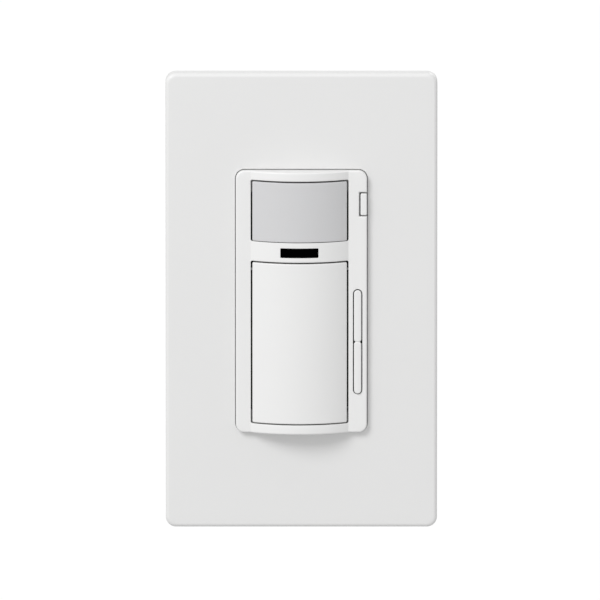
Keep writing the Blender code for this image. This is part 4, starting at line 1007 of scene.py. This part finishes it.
def makeCan():
    low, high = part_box("motion_sensor_can")
    middle = ((low.x + high.x) / 2, (low.z + high.z) / 2)
    flange, thick = insideLook["canFlange"]
    profile = [(radius * mm, low.y + depth * mm) for radius, depth in insideLook["can"]]
    body = profile[-1][0]
    profile += [(body, high.y - thick - 0.2 * mm), (body + 0.15 * mm, high.y - thick),
                (flange - 0.1 * mm, high.y - thick),
                (flange, high.y - thick + 0.1 * mm), (flange, high.y - 0.05 * mm), (flange - 0.06 * mm, high.y)]
    mesh = bmesh.new()
    addTurned(mesh, profile, middle, "Y", 64)
    halfX, halfZ, deep = insideLook["filter"]
    seat = [((middle[0] - halfX, middle[0] + halfX), (low.y - 1 * mm, low.y + deep),
             (middle[1] - halfZ, middle[1] + halfZ))]
    newPiece("detectorCan", carved(mesh, seat), "screwZinc", ["motion_sensor_can"], 30)


def makeCapacitor():
    low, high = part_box("electrolytic_capacitor")
    middle = ((low.x + high.x) / 2, (low.z + high.z) / 2)
    wide = 5.0 * mm
    profile = [(wide - 0.5 * mm, low.y), (wide - 0.1 * mm, low.y + 0.15 * mm), (wide, low.y + 0.45 * mm),
               (wide, low.y + 1.2 * mm), (wide - 0.22 * mm, low.y + 1.45 * mm), (wide - 0.3 * mm,
                                                                                 low.y + 1.6 * mm),
               (wide - 0.22 * mm, low.y + 1.75 * mm), (wide, low.y + 2.0 * mm), (wide, high.y - 0.5 * mm),
               (wide - 0.15 * mm, high.y - 0.15 * mm), (wide - 0.5 * mm, high.y)]
    mesh = bmesh.new()
    addTurned(mesh, profile, middle, "Y", 64)
    x, z = middle
    vents = [((x - 3 * mm, x + 3 * mm), (high.y - 0.15 * mm, high.y + 1 * mm), (z - 0.15 * mm, z + 0.15 * mm)),
             ((x - 0.15 * mm, x + 0.15 * mm), (high.y - 0.15 * mm, high.y + 1 * mm), (z - 3 * mm, z + 3 * mm))]
    newPiece("reservoirCapacitor", carved(mesh, vents), "sleeveBlue", ["electrolytic_capacitor"], 30)


def makeSurgeDisc():
    low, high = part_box("surge_varistor")
    wide = (high.z - low.z) / 2
    middle = (high.y - wide, (low.z + high.z) / 2)
    profile = [(wide * 0.6, low.x), (wide * 0.86, low.x + 0.12 * mm), (wide * 0.97, low.x + 0.6 * mm),
               (wide, (low.x + high.x) / 2), (wide * 0.97, high.x - 0.6 * mm), (wide * 0.86,
                                                                                high.x - 0.12 * mm),
               (wide * 0.6, high.x)]
    mesh = bmesh.new()
    addTurned(mesh, profile, middle, "X", 56)
    for z in (middle[1] - 2.5 * mm, middle[1] + 2.5 * mm):
        leg = [(0.32 * mm, low.y), (0.4 * mm, low.y + 0.1 * mm), (0.42 * mm, middle[0] - 2.6 * mm),
               (0.8 * mm, middle[0] - 1.5 * mm)]
        addTurned(mesh, leg, ((low.x + high.x) / 2, z), "Y", 20)
    newPiece("surgeDisc", mesh, "varistorBlue", ["surge_varistor"], 30)


def makeChoke():
    low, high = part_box("choke_core")
    middle = (low + high) / 2
    outer, half = (high.x - low.x) / 2, (high.y - low.y) / 2
    inner, ease = outer / 2, 0.5 * mm
    across = (outer - inner) / 2
    mesh = bmesh.new()
    rings = []
    for radius, along in ((inner, -half + ease), (inner + 0.15 * mm, -half + 0.15 * mm), (inner + ease, -half),
                          (outer - ease, -half), (outer - 0.15 * mm, -half + 0.15 * mm), (outer, -half + ease),
                          (outer, half - ease), (outer - 0.15 * mm, half - 0.15 * mm), (outer - ease, half),
                          (inner + ease, half), (inner + 0.15 * mm, half - 0.15 * mm), (inner, half - ease)):
        turns = [math.tau * i / 72 for i in range(72)]
        rings.append([mesh.verts.new((middle.x + radius * math.cos(t), middle.y + along,
                                      middle.z + radius * math.sin(t)))
                      for t in turns])
    bridge(mesh, [*rings, rings[0]])
    newPiece("chokeRing", mesh, "corePaint", ["choke_core"], 30)
    coil = bmesh.new()
    wire = insideLook["winding"]["Wire"]
    values = {**insideLook["winding"], "Middle": (inner + outer) / 2, "Across": across + wire + 0.2 * mm,
              "Along": half + wire + 0.2 * mm}
    addGrown(coil, windingShape, "bareCopper", values, Matrix.Translation(middle))
    newPiece("chokeWire", coil, "bareCopper", ["choke_winding"], 50, False)


def makeHeader():
    low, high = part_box("board_header")
    x = (low.x + high.x) / 2
    back, front = insideLook["strip"]
    mesh = bmesh.new()
    pitch, count, pin = insideLook["pitch"], insideLook["pins"], insideLook["pin"]
    first = (low.z + high.z) / 2 - pitch * (count - 1) / 2
    for i in range(count):  # each pin's own chamfered cell
        cell = (first + i * pitch - pitch / 2, first + i * pitch + pitch / 2)
        addBlock(mesh, (low.x, high.x), (high.y - back, high.y), cell, 0.22 * mm)
        addBlock(mesh, (low.x, high.x), (low.y, low.y + front), cell, 0.22 * mm)
    values = {"Count": count, "First": (x, (low.y + high.y) / 2, first), "Step": (0, 0, pitch),
              "Size": (pin, high.y - low.y - 2 * mm, pin)}
    addGrown(mesh, rowShape, "blackNylon", values)
    newPiece("pinHeader", mesh, "blackNylon", ["board_header"], 30, False)


makeCan()
makeCapacitor()
makeSurgeDisc()
makeChoke()
makeHeader()
print("inside parts made")


# What is left of the frame: a merged copy with eased edges for each node

easing = {"wallplate_subplate": 0.2, "mounting_strap": 0.12, "rear_housing": 0.3, "control_board": 0.06,
          "power_board": 0.06, "line_fuse": 0.1, "film_capacitor": 0.35}
finishOfSlot = {
    "white_plastic": "plateWhite", "lens_plastic": "lensMilk", "smoked_window": "smokedBar",
    "clear_plastic": "clearMould", "dark_plastic": "blackNylon", "zinc_steel": "screwZinc",
    "green_steel": "groundGreen", "brass": "stampedBrass", "copper": "bareCopper", "board_green": "maskGreen",
    "ferrite": "corePaint", "cap_film": "filmCapRed", "cap_sleeve": "sleeveBlue",
    "varistor_blue": "varistorBlue", "fibre": "fibreCard", "silicone_grey": "thermalGrey",
}
# control_board and rocker_pin take the painted-shade black, standing in for the shade in the gaps and nicks in
# front of them
finishOfNode = {"mounting_strap": "zincPlate", "control_board": "maskDark", "rocker_pin": "maskDark",
                "rear_housing": "housingNylon"}


def easedCopy(node):
    mesh = bmesh.new()
    mesh.from_mesh(nodes[node].data)
    bmesh.ops.remove_doubles(mesh, verts=mesh.verts, dist=2e-6)
    bmesh.ops.dissolve_limit(mesh, angle_limit=math.radians(0.5), verts=mesh.verts, edges=mesh.edges)
    piece = newPiece(node + "_fine", mesh, finishOfNode.get(node, finishOfSlot[slotOf[node]]), [node],
                     weighted=False)
    ease = piece.modifiers.new("Eased edges", "BEVEL")
    ease.width = easing.get(node, 0.1) * mm
    ease.segments = 2
    ease.limit_method = "ANGLE"
    ease.angle_limit = math.radians(38)
    ease.harden_normals = False
    tidy = piece.modifiers.new("Even normals", "WEIGHTED_NORMAL")
    tidy.keep_sharp = True


for node in sorted(set(nodes) - shown):
    easedCopy(node)
print("eased copies made")


# Floor, light and camera

studio = {
    "floorDrop": 0.45, "floorSize": 30.0, "floorGlow": 0.6, "worldLight": 0.70,
    "elevation": 8.6, "distance": 4.5, "width": 152.4 * mm, "aim": (-0.36 * mm, -5.5 * mm, 0.2 * mm),
    # place, size across and power
    "keyLight": ((-0.86, -1.25, 1.14), 0.9, 18.0), "backFill": ((0.9, 1.6, 0.9), 1.2, 8.0),
}


def makeFloor():
    mesh = bmesh.new()
    bmesh.ops.create_grid(mesh, x_segments=2, y_segments=2, size=studio["floorSize"] / 2)
    data = bpy.data.meshes.new("floor")
    mesh.to_mesh(data)
    mesh.free()
    floor = bpy.data.objects.new("floor", data)
    floor.location = (0, 0, cadBox[0][2] - studio["floorDrop"])
    bpy.context.scene.collection.objects.link(floor)
    paint = bpy.data.materials.new("floorPale")
    paint.use_nodes = True
    tree = paint.node_tree
    shader = tree.nodes["Principled BSDF"]
    shader.inputs["Base Color"].default_value = (0.02, 0.02, 0.02, 1)
    shader.inputs["Roughness"].default_value = 1.0
    shader.inputs["Specular IOR Level"].default_value = 0.0
    seen = addNode(tree, "ShaderNodeLightPath").outputs["Is Camera Ray"]
    glow = studio["floorGlow"]
    tree.links.new(mixColour(tree, seen, (glow, glow, glow, 1), (1, 1, 1, 1)), shader.inputs["Emission Color"])
    shader.inputs["Emission Strength"].default_value = 1.0
    data.materials.append(paint)


def softbox(name):
    place, size, power = studio[name]
    light = bpy.data.lights.new(name, "AREA")
    light.shape = "DISK"
    light.size = size
    light.energy = power
    lamp = bpy.data.objects.new(name, light)
    lamp.location = place
    lamp.rotation_euler = (-Vector(place)).to_track_quat("-Z", "Y").to_euler()
    bpy.context.scene.collection.objects.link(lamp)


def makeStudio():
    scene = bpy.context.scene
    makeFloor()
    world = bpy.data.worlds.new("paleRoom")
    world.use_nodes = True
    world.node_tree.nodes["Background"].inputs[0].default_value = (1, 1, 1, 1)
    world.node_tree.nodes["Background"].inputs[1].default_value = studio["worldLight"]
    scene.world = world
    softbox("keyLight")
    softbox("backFill")
    lens = bpy.data.cameras.new("camera")
    lens.sensor_width = 36.0
    lens.lens = 36.0 * studio["distance"] / studio["width"]
    lens.clip_end = 60.0
    camera = bpy.data.objects.new("camera", lens)
    tilt = math.radians(studio["elevation"])
    camera.location = Vector(studio["aim"]) + studio["distance"] * Vector((0, -math.cos(tilt), math.sin(tilt)))
    camera.rotation_euler = (math.pi / 2 - tilt, 0, 0)
    scene.collection.objects.link(camera)
    scene.camera = camera
    scene.view_settings.view_transform = "Standard"


makeStudio()
print("studio made")
